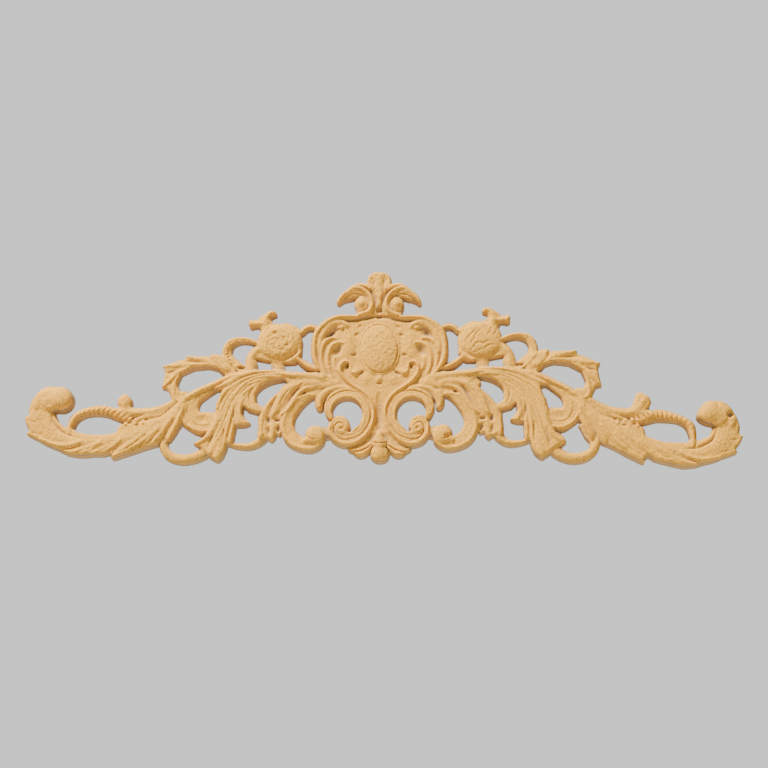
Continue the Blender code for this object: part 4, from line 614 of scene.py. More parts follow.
def flower(r):
    r.plate([(-56.5, 29), (-61, 31.6), (-66, 33.4), (-70.5, 32.4), (-75.2, 33.2), (-76.6, 35.6),
             (-75.9, 37.2), (-73.2, 38.2), (-72.4, 39.4), (-73.8, 41.2), (-76.8, 41.7), (-79.6, 40.6),
             (-81.4, 38.7), (-84.6, 37.4), (-85.8, 35.4), (-88.8, 35.2), (-91, 36), (-92.6, 33.9),
             (-92.2, 31), (-90.2, 29.2), (-88.4, 30.8), (-85.4, 30), (-84, 27.5), (-84.5, 22), (-88, 19),
             (-87.5, 14), (-90, 9), (-86, 7.4), (-80, 6.4), (-73, 5), (-66, 4.6), (-60, 4.8), (-57, 6.8),
             (-55.1, 12), (-54.3, 20)], 9.2, 1.8)
    r.boss(-71.2, 19.6, 15.2, 12.6, 9.4, 12.2, power=0.45)
    # bud stem with its two knobs
    r.band([(-78, 27, 4.5), (-80.5, 32.5, 3.6), (-80, 36.5, 3.2), (-77.4, 39.2, 2), (-74.6, 40, 1.2)],
           10.8)
    r.band([(-80, 32.5, 2.8), (-85, 32.4, 2), (-89.4, 32.2, 2.4)], 10.6)
    r.boss(-90.8, 32.6, 1.7, 2.8, 9, 10.8)
    r.boss(-76.3, 40, 3.2, 1.6, 9, 11)
    # calyx down to the stem, and the strap leaf beside it
    r.band([(-84, 15, 3.2), (-88.2, 12, 3.6), (-90.6, 8.3, 3.6), (-90.8, 4, 4.6), (-91, 0, 4.6)], 10.4)
    r.band([(-73, 8, 4.4), (-72, 3.6, 4.7), (-72, -2, 5)], 9, 0.8)
    r.band([(-65.5, 5.6, 1.2), (-61, 7.6, 1.7), (-56.8, 11.2, 1.6), (-55.6, 12.6, 0.8)], 10.8)
    r.band([(-59.2, 9.4, 1.6), (-55.4, 6, 2.3), (-50, 2.6, 2.7), (-44, 0.6, 2.4)], 10.6)
    # arch to the cartouche
    r.band([(-58.5, 27, 2), (-55.5, 26.4, 1.9), (-52.6, 29, 2), (-49.6, 30.3, 2), (-45, 29.6, 2.1)], 9.8)
    r.band([(-57, 28, 1.2), (-56.4, 20, 1.2), (-57, 13, 1.3)], 9.6)
    # loop, plain on the right and beaded on the left
    r.strand(LOOP, [(-1, 9.4), (-0.55, 10.8), (-0.1, 10), (1, 8.8)])


# curling veins of the right flower
VEINS = (
    ((-73.8, 26.8), (-70.8, 25.5, 0.8), (-68.2, 23.7, 1), (-67.1, 20.7, 1), (-65.2, 18.5, 0.8),
     (-63.2, 16.1)),
    ((-63.5, 11.1, 0.5), (-65.6, 14, 0.8), (-68.9, 16.9, 0.9), (-72.7, 16.1, 0.9), (-76.1, 17.6, 0.8),
     (-79.1, 17)),
    ((-73.1, 11.1), (-74.6, 13.3, 0.8), (-77.2, 14.8, 0.9), (-80.6, 15.2)),
    ((-76.1, 22.2), (-78, 24.4, 0.8), (-79.1, 27.4)),
    ((-79.8, 21.1), (-82.1, 23.7, 0.7), (-82.9, 26.6)),
    ((-59.9, 17), (-61.8, 20.7, 0.8), (-65.6, 24.4, 0.9), (-69.3, 27)),
    ((-64.8, 9.9), (-68.6, 11.1, 0.8), (-72.3, 12.9)),
)


def flower_lines(r):
    # left: overlapping petals with a few deep dots; right: a leaf with curling veins
    r.only = ~r.right
    r.flutes(petals(), 0.5)
    for x, z, size in ((-73.8, 25.3, 1.1), (-65, 17.3, 0.5), (-70.2, 15.9, 0.5), (-76.2, 17.3, 0.4),
                       (-65, 12.7, 0.4), (-67.5, 22.3, 0.5)):
        r.pit(x, z, size * 1.2, size, 0.6 + 0.4 * size)
    for x, z, size in beads():
        r.boss(x, z, size, size, 10.4, 11.7, power=0.6)
    r.only = r.right
    for rows in VEINS:
        r.groove(rows, 0.6)
    r.only = None
    r.pit(-97.5, 1.3, 2.6, 1.2, 2)


def petals():
    """Two rings of curved ridges round the middle of the left flower"""
    lines = []
    x, z = FLOWER_AT
    for start, count in PETAL_RINGS:
        for turn in np.arange(count) * 2 * np.pi / count + PETAL_TWIST * start:
            steps = [(start + out, turn + on, wide) for out, on, wide in PETAL]
            lines.append([(x + reach * np.cos(a), z + FLOWER_FLAT * reach * np.sin(a), wide)
                          for reach, a, wide in steps])
    return lines


def run_along(line):
    """How far along the line each of its points is"""
    return np.concatenate([[0], np.cumsum(np.hypot(*np.diff(line[:, :2], axis=0).T))])


def beads():
    """Places and sizes of the beads along the outer side of the loop"""
    line = curve(BEAD_LINE)
    run = run_along(line)
    found = []
    at = 0.0
    while at < run[-1]:
        x, z, size = (np.interp(at, run, line[:, i]) for i in range(3))
        found.append((x, z, size))
        at += 2.0 * size
    return found


def scroll_a(r):
    # broad leaf that lies on the scroll, and the scroll's round end
    r.strand([(-46.5, -18, 1.5), (-52.6, -19.8, 3.2), (-58.9, -25.6, 3.7, 4.4), (-63.8, -33.5, 4, 4.7),
              (-64.7, -41, 4.7, 5.3), (-61.6, -47.5, 5.3, 5.9), (-55, -51.4, 5.3), (-48.3, -51.8, 5.2),
              (-43.8, -48.9, 5.2)], [(-1, 10.8), (-0.75, 11.8), (-0.3, 10.6), (0.5, 10), (1, 9.4)])
    r.boss(-45.4, -46, 7.5, 7.5, 9.5, 13.2)
    r.band([(-52.5, -49.8, 3), (-48.6, -48.4, 4.6), (-46, -46.6, 5.4)], 12, 1.6)
    r.band([(-43, -42.6, 3.2), (-38.8, -43.7, 4.4), (-35.6, -43.5, 3.5)], 9.8, 1)


def scroll_a_lines(r):
    r.groove([(-52.6, -43.2, 0.5), (-51.6, -46.2, 0.8), (-49, -48.6, 0.8), (-45.4, -49.2, 0.5)], 1)
    r.only = r.right
    r.pit(-48.8, -47.2, 1.8, 1.5, 1.3)
    r.only = None


def stems(r):
    # main stem from the cartouche, spreading into the great leaf
    r.plate([(-33, -4), (-44, -1.5), (-53, -2), (-60, -2.2), (-66, -1.4), (-77, 0.3), (-88, 0.2),
             (-97, -1), (-104, -3.6), (-111, -8.5), (-117.3, -13.2), (-111.8, -14.6), (-113.2, -19.5),
             (-115.5, -23), (-116.2, -29.5), (-118, -38.5), (-121, -43.5), (-125.5, -47.6),
             (-131.6, -51.6), (-127, -54), (-123, -57.5), (-119.8, -61.4), (-115.4, -63.8),
             (-110.9, -61.2), (-108.4, -56), (-107.4, -51.8), (-103.6, -50.8), (-102.7, -46),
             (-101.2, -39.4), (-97, -39.4), (-94, -38.8), (-91.4, -37), (-93.8, -34.8), (-96.8, -30.6),
             (-96, -25.8), (-93, -28.6), (-85, -31), (-80, -29.5), (-83, -25.4), (-86.8, -23),
             (-87.3, -16.5), (-83.1, -10.6), (-76, -7.2), (-68, -6.6), (-62, -13), (-42, -14), (-30, -11)],
            10.8, 1.6)
    r.only = r.right
    r.plate([(-112, -44), (-124, -45.4), (-128.8, -48), (-131.6, -51.6), (-128.4, -55), (-120, -58),
             (-112, -52)], 9.6, 1.8)
    r.plate([(-62, -6.4), (-68, -7), (-70.6, -8.8), (-71.4, -11.2), (-70.4, -13.6), (-66, -13),
             (-62, -10)], 10, 1.2)
    r.only = None
    for i, rows in enumerate(LEAF):
        r.band(rows, 12 if i < HIGH_RIBS else 11.6, 1.2, 1.2)
    r.boss(-114.3, -58.6, 3.8, 5.4, 9.8, 11.6, turn=-18)
    # volute band round the left of the inner hole
    r.strand([(-60, -5.6, 1.2), (-72, -5.8, 2), (-81, -7.8, 2.8), (-88.2, -12.8, 3.1), (-90.8, -19.5, 3.2),
              (-88.6, -25.6, 3), (-84.5, -27.4, 2.4), (-81.5, -26.4, 1.6)],
             [(-1, 10.6), (-0.8, 11.3), (-0.3, 10.2), (0.5, 9.6), (1, 9.2)])
    # second leaf
    r.plate([(-40, -8), (-55, -7), (-64, -8.6), (-68.6, -10.6), (-71, -14.6), (-77.4, -20.2),
             (-80.9, -24.2), (-83, -28), (-86, -33), (-85.8, -40), (-86.8, -46.5), (-84.4, -48),
             (-80.6, -47.6), (-78.2, -48.8), (-75.8, -49.4), (-73.2, -45), (-70.6, -46), (-68, -40),
             (-66, -30), (-60, -23), (-53, -16), (-46, -19.6), (-42, -17.6), (-40, -14)], 10, 1.6)
    r.band([(-44, -9.6, 4), (-54, -9.4, 3.4), (-64, -14, 3.8), (-70.6, -21.5, 4.4), (-73.4, -27.8, 3.8),
            (-75.9, -33, 1.4)], 11.7, 1.6)
    r.band([(-46, -12.6, 1.2), (-54, -14.2, 1.9), (-60, -20.6, 2.4), (-64.4, -27, 2.4),
            (-69.5, -31.4, 1.2)], 11.9, 1.2)
    r.band([(-57, -9.6, 1), (-66, -12.8, 1.2), (-74.4, -19.6, 1.7), (-78.8, -25, 2.1), (-82, -32, 2.8),
            (-82.9, -39, 3), (-83.3, -44.5, 2.6), (-84.4, -47.6, 1.4)], 11.2, 1.2)
    r.band([(-74.5, -35.5, 1.6), (-75.4, -42, 2), (-76, -46.5, 2.3), (-76.6, -48.4, 1.4)], 10.6)
    # small ring below
    r.band([(-82.5, -45.5, 1), (-84.8, -48.6, 2.2), (-89.5, -51.9, 2.1), (-95.5, -53, 1.9),
            (-101.5, -52.5, 1.7), (-107, -50.8, 1.6)], 9.8, 0.8)
    r.band([(-80, -46.6, 1.2), (-83.4, -49.8, 1.5), (-89, -52.9, 1.3), (-95, -54, 1.1)], 9.6)


# cuts between the ribs of the great leaf and the second one
STEM_CUTS = (
    ((-60, -2.6), (-74, -2.2, 0.7), (-88, -3.4, 0.8), (-98, -7, 0.8), (-106, -12.2, 0.7), (-111.8, -16.6)),
    ((-66, -4.6), (-82, -4.2, 0.8), (-93, -7.4, 0.9), (-101, -13.2, 1), (-107, -20.6, 1),
     (-110.6, -28.6, 0.8), (-114, -35)),
    ((-84, -6.6), (-93.4, -10.6, 0.9), (-100.6, -17.6, 1), (-105.2, -25.6, 1), (-108.6, -34.6, 1),
     (-112.4, -43.6, 0.9), (-115.6, -48.6)),
    ((-88, -9.6), (-95.2, -15, 0.8), (-99.4, -21.4, 1), (-102.6, -28.6, 1.1), (-104.4, -36.6, 1),
     (-106.6, -44.8, 0.8), (-108, -49.4)),
    ((-102.2, -25.5), (-102.6, -31, 1.1), (-101.6, -37, 0.6)),
    ((-108.6, -39), (-109.4, -45, 0.9), (-110.6, -51, 0.8), (-112.4, -56.5)),
    ((-116.2, -43), (-118.8, -49, 0.9), (-120.8, -54.6, 0.6)),
    ((-86.5, -11.5), (-91.2, -16.5, 0.8), (-91.4, -22, 0.8), (-89, -26.4)),
    ((-51.5, -8.6), (-57.7, -12.9, 1), (-62.6, -19.8, 1), (-65.6, -25.4, 0.6), (-69.6, -29.6)),
    ((-69, -14.6), (-73.8, -20.6, 0.9), (-76.2, -27, 0.8), (-78.2, -32.6, 0.5)),
    ((-81.6, -34), (-82, -39.5, 0.8), (-82.4, -44)),
    ((-62, -12.6, 0.3), (-67, -18, 0.7), (-70.6, -24.6)),
)


def stem_lines(r):
    for rows in STEM_CUTS:
        r.groove(rows, 1.5, 7.6)
    r.pit(-78.2, -35.5, 1.3, 2.4, 1.9, 10)
    r.pit(-78.4, -43, 0.9, 2.8, 1.6)
    r.pit(-71.6, -41.6, 1.2, 2.4, 2.2)
    r.pit(-72.4, -35.4, 2, 1, 2)


def upper_leaf(r):
    r.plate([(-103, 8), (-110.5, 10.5), (-117, 11.6), (-119.4, 9.9), (-126, 9.9), (-135.4, 10.3),
             (-137.2, 7.8), (-143.6, 6.2), (-152.6, 2.7), (-151.2, -1), (-152.4, -8), (-153.6, -12),
             (-149.8, -13.4), (-147.8, -17), (-146.6, -21.5), (-140, -22.5), (-134, -17.6),
             (-140.4, -14.8), (-142.8, -9.5), (-139.4, -2.8), (-131, 0.8), (-121, 1.9), (-114.6, 0.4),
             (-111, -2.6), (-106, -6), (-100, -4)], 10.2, 1.6)
    for rows in UPPER:
        r.band(rows, 11.2, 1, 1.2)
    # small curl in the hole
    r.boss(-138, -16.5, 3, 2, 8, 10.2)


# cuts of the upper leaf
UPPER_CUTS = (
    ((-111.5, 1.5), (-116, 4.2, 0.8), (-119.4, 8.4, 0.7)),
    ((-122, 4.4), (-130, 5.2, 0.8), (-137, 5.6, 0.6)),
    ((-139, 0.2), (-145.5, -1.6, 0.9), (-150.4, -2.6, 0.7)),
    ((-143, -5.2), (-147.4, -9.4, 0.8), (-150.6, -11.4, 0.5)),
)


def upper_leaf_lines(r):
    r.flutes([[(-106, 5.6, 1.2), (-112, 8.4, 1.8), (-117, 9.8, 1)],
              [(-122, 7.2, 1), (-129, 8.2, 1.4), (-134.6, 9, 0.8)]], 0.5)
    for rows in UPPER_CUTS:
        r.groove(rows, 1.2, 7.8)


def branch(r):
    r.band([(-98, -2.8, 1.7), (-106, -5.2, 2.3), (-114, -9, 2.7), (-122, -12.7, 2.8), (-130, -16.4, 2.9),
            (-138, -21.4, 3), (-142, -27, 2.4)], 11.3, 1.4)
    # second curl: a hollow cup inside two lines
    r.plate([(-139.8, -24), (-140.4, -37.5), (-136.5, -40.6), (-130.6, -44.2), (-125.6, -45.6),
             (-118, -44), (-113, -36), (-114.6, -29.5), (-119, -29.2), (-126.6, -29.2), (-130, -22),
             (-137, -20)], 8.8, 2)
    r.strand([(-115, -13, 1), (-122.2, -16.6, 2), (-129.4, -21, 3.4), (-132.1, -28, 4.5), (-130, -34, 5.4),
              (-123, -35.6, 5.8), (-116, -34.4, 3.6)], [(-1, 10.4), (-0.7, 9.9), (0.2, 9.3), (1, 9)])
    r.band([(-137.4, -24, 1.4), (-138.4, -31, 1.9), (-136.2, -37.6, 2), (-130.5, -41.6, 2),
            (-123.5, -42.6, 1.7), (-117.4, -40.6, 1.2)], 10.8, 1)


# cuts along the branch and inside its curl
BRANCH_CUTS = (
    ((-100, -4.6, 0.3), (-110, -9.2, 0.7), (-120, -13.6, 0.8), (-130, -18.2, 0.6)),
    ((-134.6, -25, 0.5), (-134.9, -31, 0.9), (-132.4, -36.4, 0.9), (-126.5, -39.2, 0.8),
     (-119.5, -38.6, 0.5)),
    ((-137.8, -27), (-137.6, -33, 0.7), (-134, -38.4)),
)


def branch_lines(r):
    r.swell(-125, -34.6, 8, 4, -0.8, 8)
    for rows in BRANCH_CUTS:
        r.groove(rows, 1.2, 7.8)


def wing(r):
    r.plate([(-133, -22), (-140, -20.6), (-146, -21.4), (-150.5, -25.4), (-156, -28.4), (-170, -33),
             (-179, -36), (-183.3, -38.8), (-185.6, -43.4), (-190, -44.8), (-200, -45.2), (-212, -43.6),
             (-217.5, -39.8), (-221.4, -40), (-226.4, -35.4), (-228.8, -29.6), (-236, -17),
             (-240.4, -15.4), (-244.6, -21), (-246.8, -27), (-246.6, -31.4), (-249.8, -33.2),
             (-248.8, -38), (-246.6, -42.2), (-248.5, -45), (-243.6, -47.7), (-235.5, -51.1),
             (-227.4, -55.4), (-220.4, -58.9), (-213, -60.3), (-206, -60.2), (-200, -59.2), (-195, -59.8),
             (-191.2, -58.6), (-187, -61.8), (-180, -59.9), (-171, -56.9), (-164, -54.5), (-156, -52.2),
             (-152, -46), (-149.5, -50.5), (-147.4, -48.6), (-143.5, -43), (-139.8, -38)], 10.3, 1.6)
    # broad body of the leaf from its root to the ball
    r.band([(-139, -26, 3.4), (-150, -35, 5.2), (-165, -42.5, 6), (-185, -49.2, 5.6), (-205, -51.4, 6.4),
            (-222, -49, 7.6), (-233, -42, 8.4), (-237.5, -32, 8.4), (-236.4, -24, 7.6),
            (-230.6, -19.6, 6.4)], 11.2, 1, 3)
    for rows in LOBES:
        r.band(rows, 11.3, 1, 1.2)
    # smooth strand along the top, with the knob
    r.band([(-145, -21.6, 1.4), (-152, -26.2, 2.6), (-160, -29, 3.2), (-170, -29.8, 3.4),
            (-177, -29.6, 3.8), (-184, -29.4, 3.4), (-189, -28.6, 2.2)], 10.8, 1.4)
    r.only = ~r.right
    r.band([(-178.6, -31, 5.2), (-179, -26.6, 4.8), (-179.4, -22.4, 4.4), (-179.2, -19.6, 3)], 11, 1.4)
    r.boss(-179.5, -22.3, 5.2, 5.1, 8.5, 11.4)
    r.only = r.right
    r.plate([(-166, -30), (-171.5, -27.8), (-174.8, -24.6), (-175.8, -20.2), (-176.6, -16.7),
             (-179.4, -16.3), (-183.6, -17.9), (-185.7, -21), (-185.2, -24.4), (-183.2, -27), (-186, -31)],
            10.2, 2)
    r.band([(-173, -29.6, 2), (-178.6, -26.4, 3), (-180.2, -22.6, 3), (-181.4, -20.4, 2.6)], 11, 1.2)
    r.only = None
    # rope over the eye
    r.band(ROPE, 10.9, 1.6)
    # ball at the end, rolled over from the leaf
    r.boss(-224.4, -20.4, 9, 8.9, 10, TALLEST, power=0.6)
    r.boss(-230.5, -21.2, 10.6, 8.6, 10, 13.6, 20, power=0.6)
    r.band([(-240.6, -26, 3.2), (-239.2, -20.2, 3.7), (-234.4, -16.6, 4.5), (-228.6, -17, 5.8)], 12.4, 1.4)


def knots(r):
    """Small hollows between knots where the rope meets the leaf"""
    for x, z, rx, rz in ((-173.2, -34.2, 1.4, 0.9), (-176.2, -37.4, 1, 1.2), (-168.4, -36.4, 1.6, 0.9),
                         (-181, -37.4, 1.2, 0.8), (-164.2, -34.8, 1.2, 0.6), (-170.6, -38.6, 1.4, 0.7)):
        r.pit(x, z, rx, rz, 1, 20)
    for x, z in ((-171, -35.4), (-175.6, -34.6), (-178.6, -38.2), (-166.4, -37.6)):
        r.swell(x, z, 1.6, 1.4, 0.8)


# cuts between the lobes of the wing
WING_CUTS = (
    ((-147, -38), (-150.4, -44, 0.9), (-151.8, -49, 0.8)),
    ((-152, -40), (-158.5, -47.5, 0.8), (-163.6, -51.6, 0.6)),
    ((-160, -46), (-165.6, -50.6, 0.8), (-169.6, -54.8, 0.5)),
    ((-168, -48.4), (-177, -54.6, 0.9), (-186, -58.6, 0.6), (-190.6, -59.6)),
    ((-186, -52), (-194.6, -56.4, 0.8), (-200.6, -58.9, 0.5)),
    ((-198, -53.6), (-207.4, -56.4, 0.8), (-214.5, -58.8, 0.5)),
    ((-208, -53), (-217.6, -55.4, 0.7), (-225, -55)),
    ((-226, -50.6, 0.3), (-232.5, -50.6, 0.5), (-238, -50, 0.3)),
    ((-236, -45.6, 0.3), (-241.6, -44.8, 0.6), (-245.6, -44)),
    ((-240, -37.6, 0.3), (-243.4, -36.6, 0.5), (-246.4, -35.4, 0.3)),
)


def wing_lines(r):
    r.flutes([[(x, z, 0.9 * w) for x, z, w in rows] for rows in LOBES], 0.5)
    for rows in WING_CUTS:
        r.groove(rows, 1.1, 8)
    r.groove([(-142, -22.6, 0.6), (-147, -27.2, 1), (-153, -32.4, 1.1), (-162, -34.4, 1.1),
              (-170, -35.2, 1.3), (-176, -36.4, 1)], 1.2, 8.2)
    r.groove([(-230.4, -30.6, 0.6), (-229.8, -36, 1.2), (-226, -41.2, 1.3), (-220.4, -45.4, 1),
              (-212, -48, 0.5)], 2, 8)
    r.groove([(-219.6, -40.6, 0.5), (-219.6, -44, 0.7), (-216.5, -46.4)], 1.4, 8)
    # seam of the rolled end
    r.groove([(-239, -21), (-236.8, -25, 0.8), (-233.4, -28.2, 0.9), (-229.4, -29.4, 0.8),
              (-225.8, -29.6, 0.5)], 0.5, 8)
    r.only = ~r.right
    r.swell(-231, -26.8, 2.6, 1.8, 0.9, 25)
    r.only = r.right
    r.pit(-239.6, -20, 2.3, 1.9, 3, -20)
    r.groove([(-228.6, -13.4, 0.3), (-229.8, -16, 0.8), (-228.6, -18.6, 0.3)], 0.9)
    r.only = None


def rope(r):
    """Twist of the rope, which fades out towards the ball"""
    line = curve(ROPE)
    along = run_along(line)
    for at in np.arange(ROPE_START, along[-1], ROPE_STEP):
        x, z, width = (np.interp(at, along, line[:, i]) for i in range(3))
        ahead = np.array([np.interp(at + 1, along, line[:, i]) for i in (0, 1)]) - (x, z)
        ahead /= np.hypot(*ahead)
        across = np.array([ahead[0] * ROPE_SLANT - ahead[1], ahead[1] * ROPE_SLANT + ahead[0]])
        reach = ROPE_REACH * width * across
        deep = ROPE_DEEP * smooth(ROPE_FADE - 2 * at / along[-1])
        ends = [(x + way * reach[0], z + way * reach[1]) for way in (-1, 1)]
        r.groove([ends[0], (x, z, 0.9), ends[1]], deep, 8)


def ring(r):
    r.only = r.right
    r.plate([(-139.4, -41), (-141, -43.4), (-143.8, -48.4), (-147.3, -51.8), (-147.3, -55), (-150.5, -56),
             (-152, -52), (-150, -46), (-145, -39)], 8.8, 1.5)
    r.only = None
    r.band([(-151.4, -48, 2.7), (-151.9, -54, 2.9, 3.3), (-147.7, -59.4, 3, 3.7), (-140, -62.1, 3.3),
            (-131, -60.9, 3.3), (-124, -57.4, 3.7), (-120.6, -54, 3)], 9.8, 0.8)


def draw(r):
    """Lays the broad forms over one another and wears them soft, then cuts the crisp lines"""
    for part in (ring, wing, upper_leaf, branch, flower, stems, scroll_a, centre, volute, crown):
        part(r)
    for part in (wing_lines, upper_leaf_lines, branch_lines, stem_lines):
        part(r)
    r.soften(SOFTNESS)
    for part in (rope, knots, flower_lines, scroll_a_lines, centre_lines, volute_lines, crown_lines):
        part(r)
    r.round_rim(RIM_ROUND, LOW_EDGE)


def grown(seed, allowed):
    """The part of allowed that joins on to seed"""
    while True:
        wider = seed.copy()
        wider[1:] |= seed[:-1]
        wider[:-1] |= seed[1:]
        wider[:, 1:] |= seed[:, :-1]
        wider[:, :-1] |= seed[:, 1:]
        wider &= allowed
        if (wider == seed).all():
            return seed
        seed = wider


def one_piece(inside):
    """Keeps the body that holds the middle of the sheet, without crumbs beside it"""
    body = inside > 0
    seed = np.zeros_like(body)
    seed[body.shape[0] // 2, body.shape[1] // 2] = True
    return np.where(body & ~grown(seed, body), CRUMB_OUTSIDE, inside)


def outline_cells(inside):
    """The faces of every cell that holds material, their points and the edges along the outline"""
    points, point_at, faces, rim = [], {}, [], []

    def corner(at):
        if at not in point_at:
            point_at[at] = len(points)
            points.append((at[1], at[0], False))
        return point_at[at]

    def crossing(a, b):
        key = (a, b) if a < b else (b, a)
        if key not in point_at:
            (i0, j0), (i1, j1) = key
            f0, f1 = inside[key[0]], inside[key[1]]
            q = min(max(f0 / (f0 - f1), NO_SLIVER), 1 - NO_SLIVER)
            point_at[key] = len(points)
            points.append((j0 + q * (j1 - j0), i0 + q * (i1 - i0), True))
        return point_at[key]

    solid = inside > 0
    some = solid[:-1, :-1] | solid[1:, :-1] | solid[:-1, 1:] | solid[1:, 1:]
    for i, j in np.argwhere(some).tolist():
        square = [(i, j), (i, j + 1), (i + 1, j + 1), (i + 1, j)]
        held = [bool(solid[c]) for c in square]
        if held in ([True, False, True, False], [False, True, False, True]):
            for k in np.nonzero(held)[0]:
                out = crossing(square[k], square[(k + 1) % 4])
                back = crossing(square[k], square[k - 1])
                faces.append([corner(square[k]), out, back])
                rim.append((out, back))
            continue
        loop = []
        for k in range(4):
            if held[k]:
                loop.append(corner(square[k]))
            if held[k] != held[(k + 1) % 4]:
                loop.append(crossing(square[k], square[(k + 1) % 4]))
        faces.append(loop)
        if not all(held):
            rim += [(a, b) for a, b in zip(loop, loop[1:] + loop[:1]) if points[a][2] and points[b][2]]
    return points, faces, rim


def relief_mesh(name, pitch, drawn):
    """The closed body: carved front, plain edge and flat back, from samples at an even spacing"""
    across, up = (np.arange(-int(half / pitch), int(half / pitch) + 1) * pitch for half in SHEET)
    wide, high = np.meshgrid(across, up)
    relief = Relief(*drawing_place(wide, high), wide > 0, pitch)
    drawn(relief)
    points, faces, rim = outline_cells(one_piece(relief.inside))
    count = len(points)
    column, row, edge = (np.array(v) for v in zip(*points))
    x = across[0] + column * pitch
    z = up[0] + row * pitch
    front = relief.height[np.rint(row).astype(int), np.rint(column).astype(int)]
    front = np.where(edge, LOW_EDGE, np.maximum(front, LEAST_SHARE * LOW_EDGE))
    x *= LENGTH / np.ptp(x)
    z *= HEIGHT / np.ptp(z)
    y = -front * DEPTH / TALLEST
    cos = [*zip(x, y, z)] + [(a, 0.0, c) for a, c in zip(x, z)]
    sides = [(a, b, b + count, a + count) for a, b in rim]
    backs = [[v + count for v in reversed(loop)] for loop in faces]
    mesh = bpy.data.meshes.new(name)
    mesh.from_pydata(cos, [], faces + backs + sides)
    body = bmesh.new()
    body.from_mesh(mesh)
    bmesh.ops.triangulate(body, faces=body.faces[:])
    bmesh.ops.recalc_face_normals(body, faces=body.faces[:])
    body.to_mesh(mesh)
    body.free()
    return mesh


def placed(name, data):
    """A new object in the scene"""
    thing = bpy.data.objects.new(name, data)
    bpy.context.scene.collection.objects.link(thing)
    return thing


def thinned(mesh, faces):
    """The same body with fewer faces, its back still flat"""
    piece = placed(mesh.name, mesh)
    fewer = piece.modifiers.new("fewer", "DECIMATE")
    fewer.ratio = faces / len(mesh.polygons)
    graph = bpy.context.evaluated_depsgraph_get()
    result = bpy.data.meshes.new_from_object(piece.evaluated_get(graph))
    bpy.data.objects.remove(piece)
    bpy.data.meshes.remove(mesh)
    for vertex in result.vertices:
        if vertex.co.y > -NEARLY_FLAT * EDGE:
            vertex.co.y = 0.0
    return result


def plain_material(name, colour, rough):
    material = bpy.data.materials.new(name)
    material.use_nodes = True
    shader = material.node_tree.nodes["Principled BSDF"]
    shader.inputs["Base Color"].default_value = (*colour, 1)
    shader.inputs["Roughness"].default_value = rough
    return material


def cast_wood_material():
    """Pale matt wood composite: fine grain, faint mottling, and painted shade that darkens the hollows"""
    material = plain_material("cast_wood", CAST_WOOD, WOOD_ROUGH)
    tree = material.node_tree
    nodes, links = tree.nodes, tree.links
    shader = nodes["Principled BSDF"]
    place = nodes.new("ShaderNodeTexCoord")

    def noise(scale, detail, rough):
        node = nodes.new("ShaderNodeTexNoise")
        node.inputs["Scale"].default_value = scale
        node.inputs["Detail"].default_value = detail
        node.inputs["Roughness"].default_value = rough
        links.new(place.outputs["Object"], node.inputs["Vector"])
        return node

    def mixed(share, first, second):
        node = nodes.new("ShaderNodeMix")
        node.data_type = "RGBA"
        node.inputs["B"].default_value = (*second, 1)
        if isinstance(first, tuple):
            node.inputs["A"].default_value = (*first, 1)
        else:
            links.new(first, node.inputs["A"])
        links.new(share, node.inputs["Factor"])
        return node.outputs["Result"]

    def bump(height, strength, distance, under=None):
        node = nodes.new("ShaderNodeBump")
        node.inputs["Strength"].default_value = strength
        node.inputs["Distance"].default_value = distance
        links.new(height.outputs["Fac"], node.inputs["Height"])
        if under:
            links.new(under.outputs["Normal"], node.inputs["Normal"])
        return node

    mottle, grain, spots = noise(*MOTTLE), noise(*GRAIN_NOISE), noise(*SPOTS)
    darker, lighter = (tuple(share * v for v in CAST_WOOD) for share in MOTTLE_SHARES)
    colour = mixed(mottle.outputs["Fac"], darker, lighter)
    speckle = nodes.new("ShaderNodeMapRange")
    speckle.inputs["From Min"].default_value = SPECK_FROM
    speckle.inputs["From Max"].default_value = SPECK_TO
    links.new(grain.outputs["Fac"], speckle.inputs["Value"])
    colour = mixed(speckle.outputs["Result"], colour, SPECKLE)
    # painted shade: the hollow attribute mixes a darker colour into recesses, the rim, the walls and a
    # little into the back
    hollow = nodes.new("ShaderNodeAttribute")
    hollow.attribute_name = "hollow"
    colour = mixed(hollow.outputs["Fac"], colour, PAINTED_SHADE_COLOUR)
    links.new(colour, shader.inputs["Base Color"])
    shader.inputs["Specular IOR Level"].default_value = WOOD_SHEEN
    fine = bump(spots, *FINE_BUMP, under=bump(grain, *COARSE_BUMP))
    links.new(fine.outputs["Normal"], shader.inputs["Normal"])
    return material


def draw_grained(relief):
    """The carving with the small dents of a cast of wood dust and glue, and the hammered oval"""
    draw(relief)
    chance = np.random.default_rng(DENT_SEED)
    held = relief.inside > 0
    wide, high = HAMMERED_FIELD
    oval = np.hypot((relief.x - AXIS) / wide, (relief.z - OVAL_UP) / high) < 1
    for where, (size, deep) in ((held, GRAIN[0]), (held, GRAIN[1]), (oval, HAMMERED)):
        dents = averaged(chance.standard_normal(relief.x.shape), held, size / relief.pitch)
        relief.height -= np.where(where, deep * np.clip(1 + dents / dents[held].std(), 0, DEEPEST_DENT), 0)


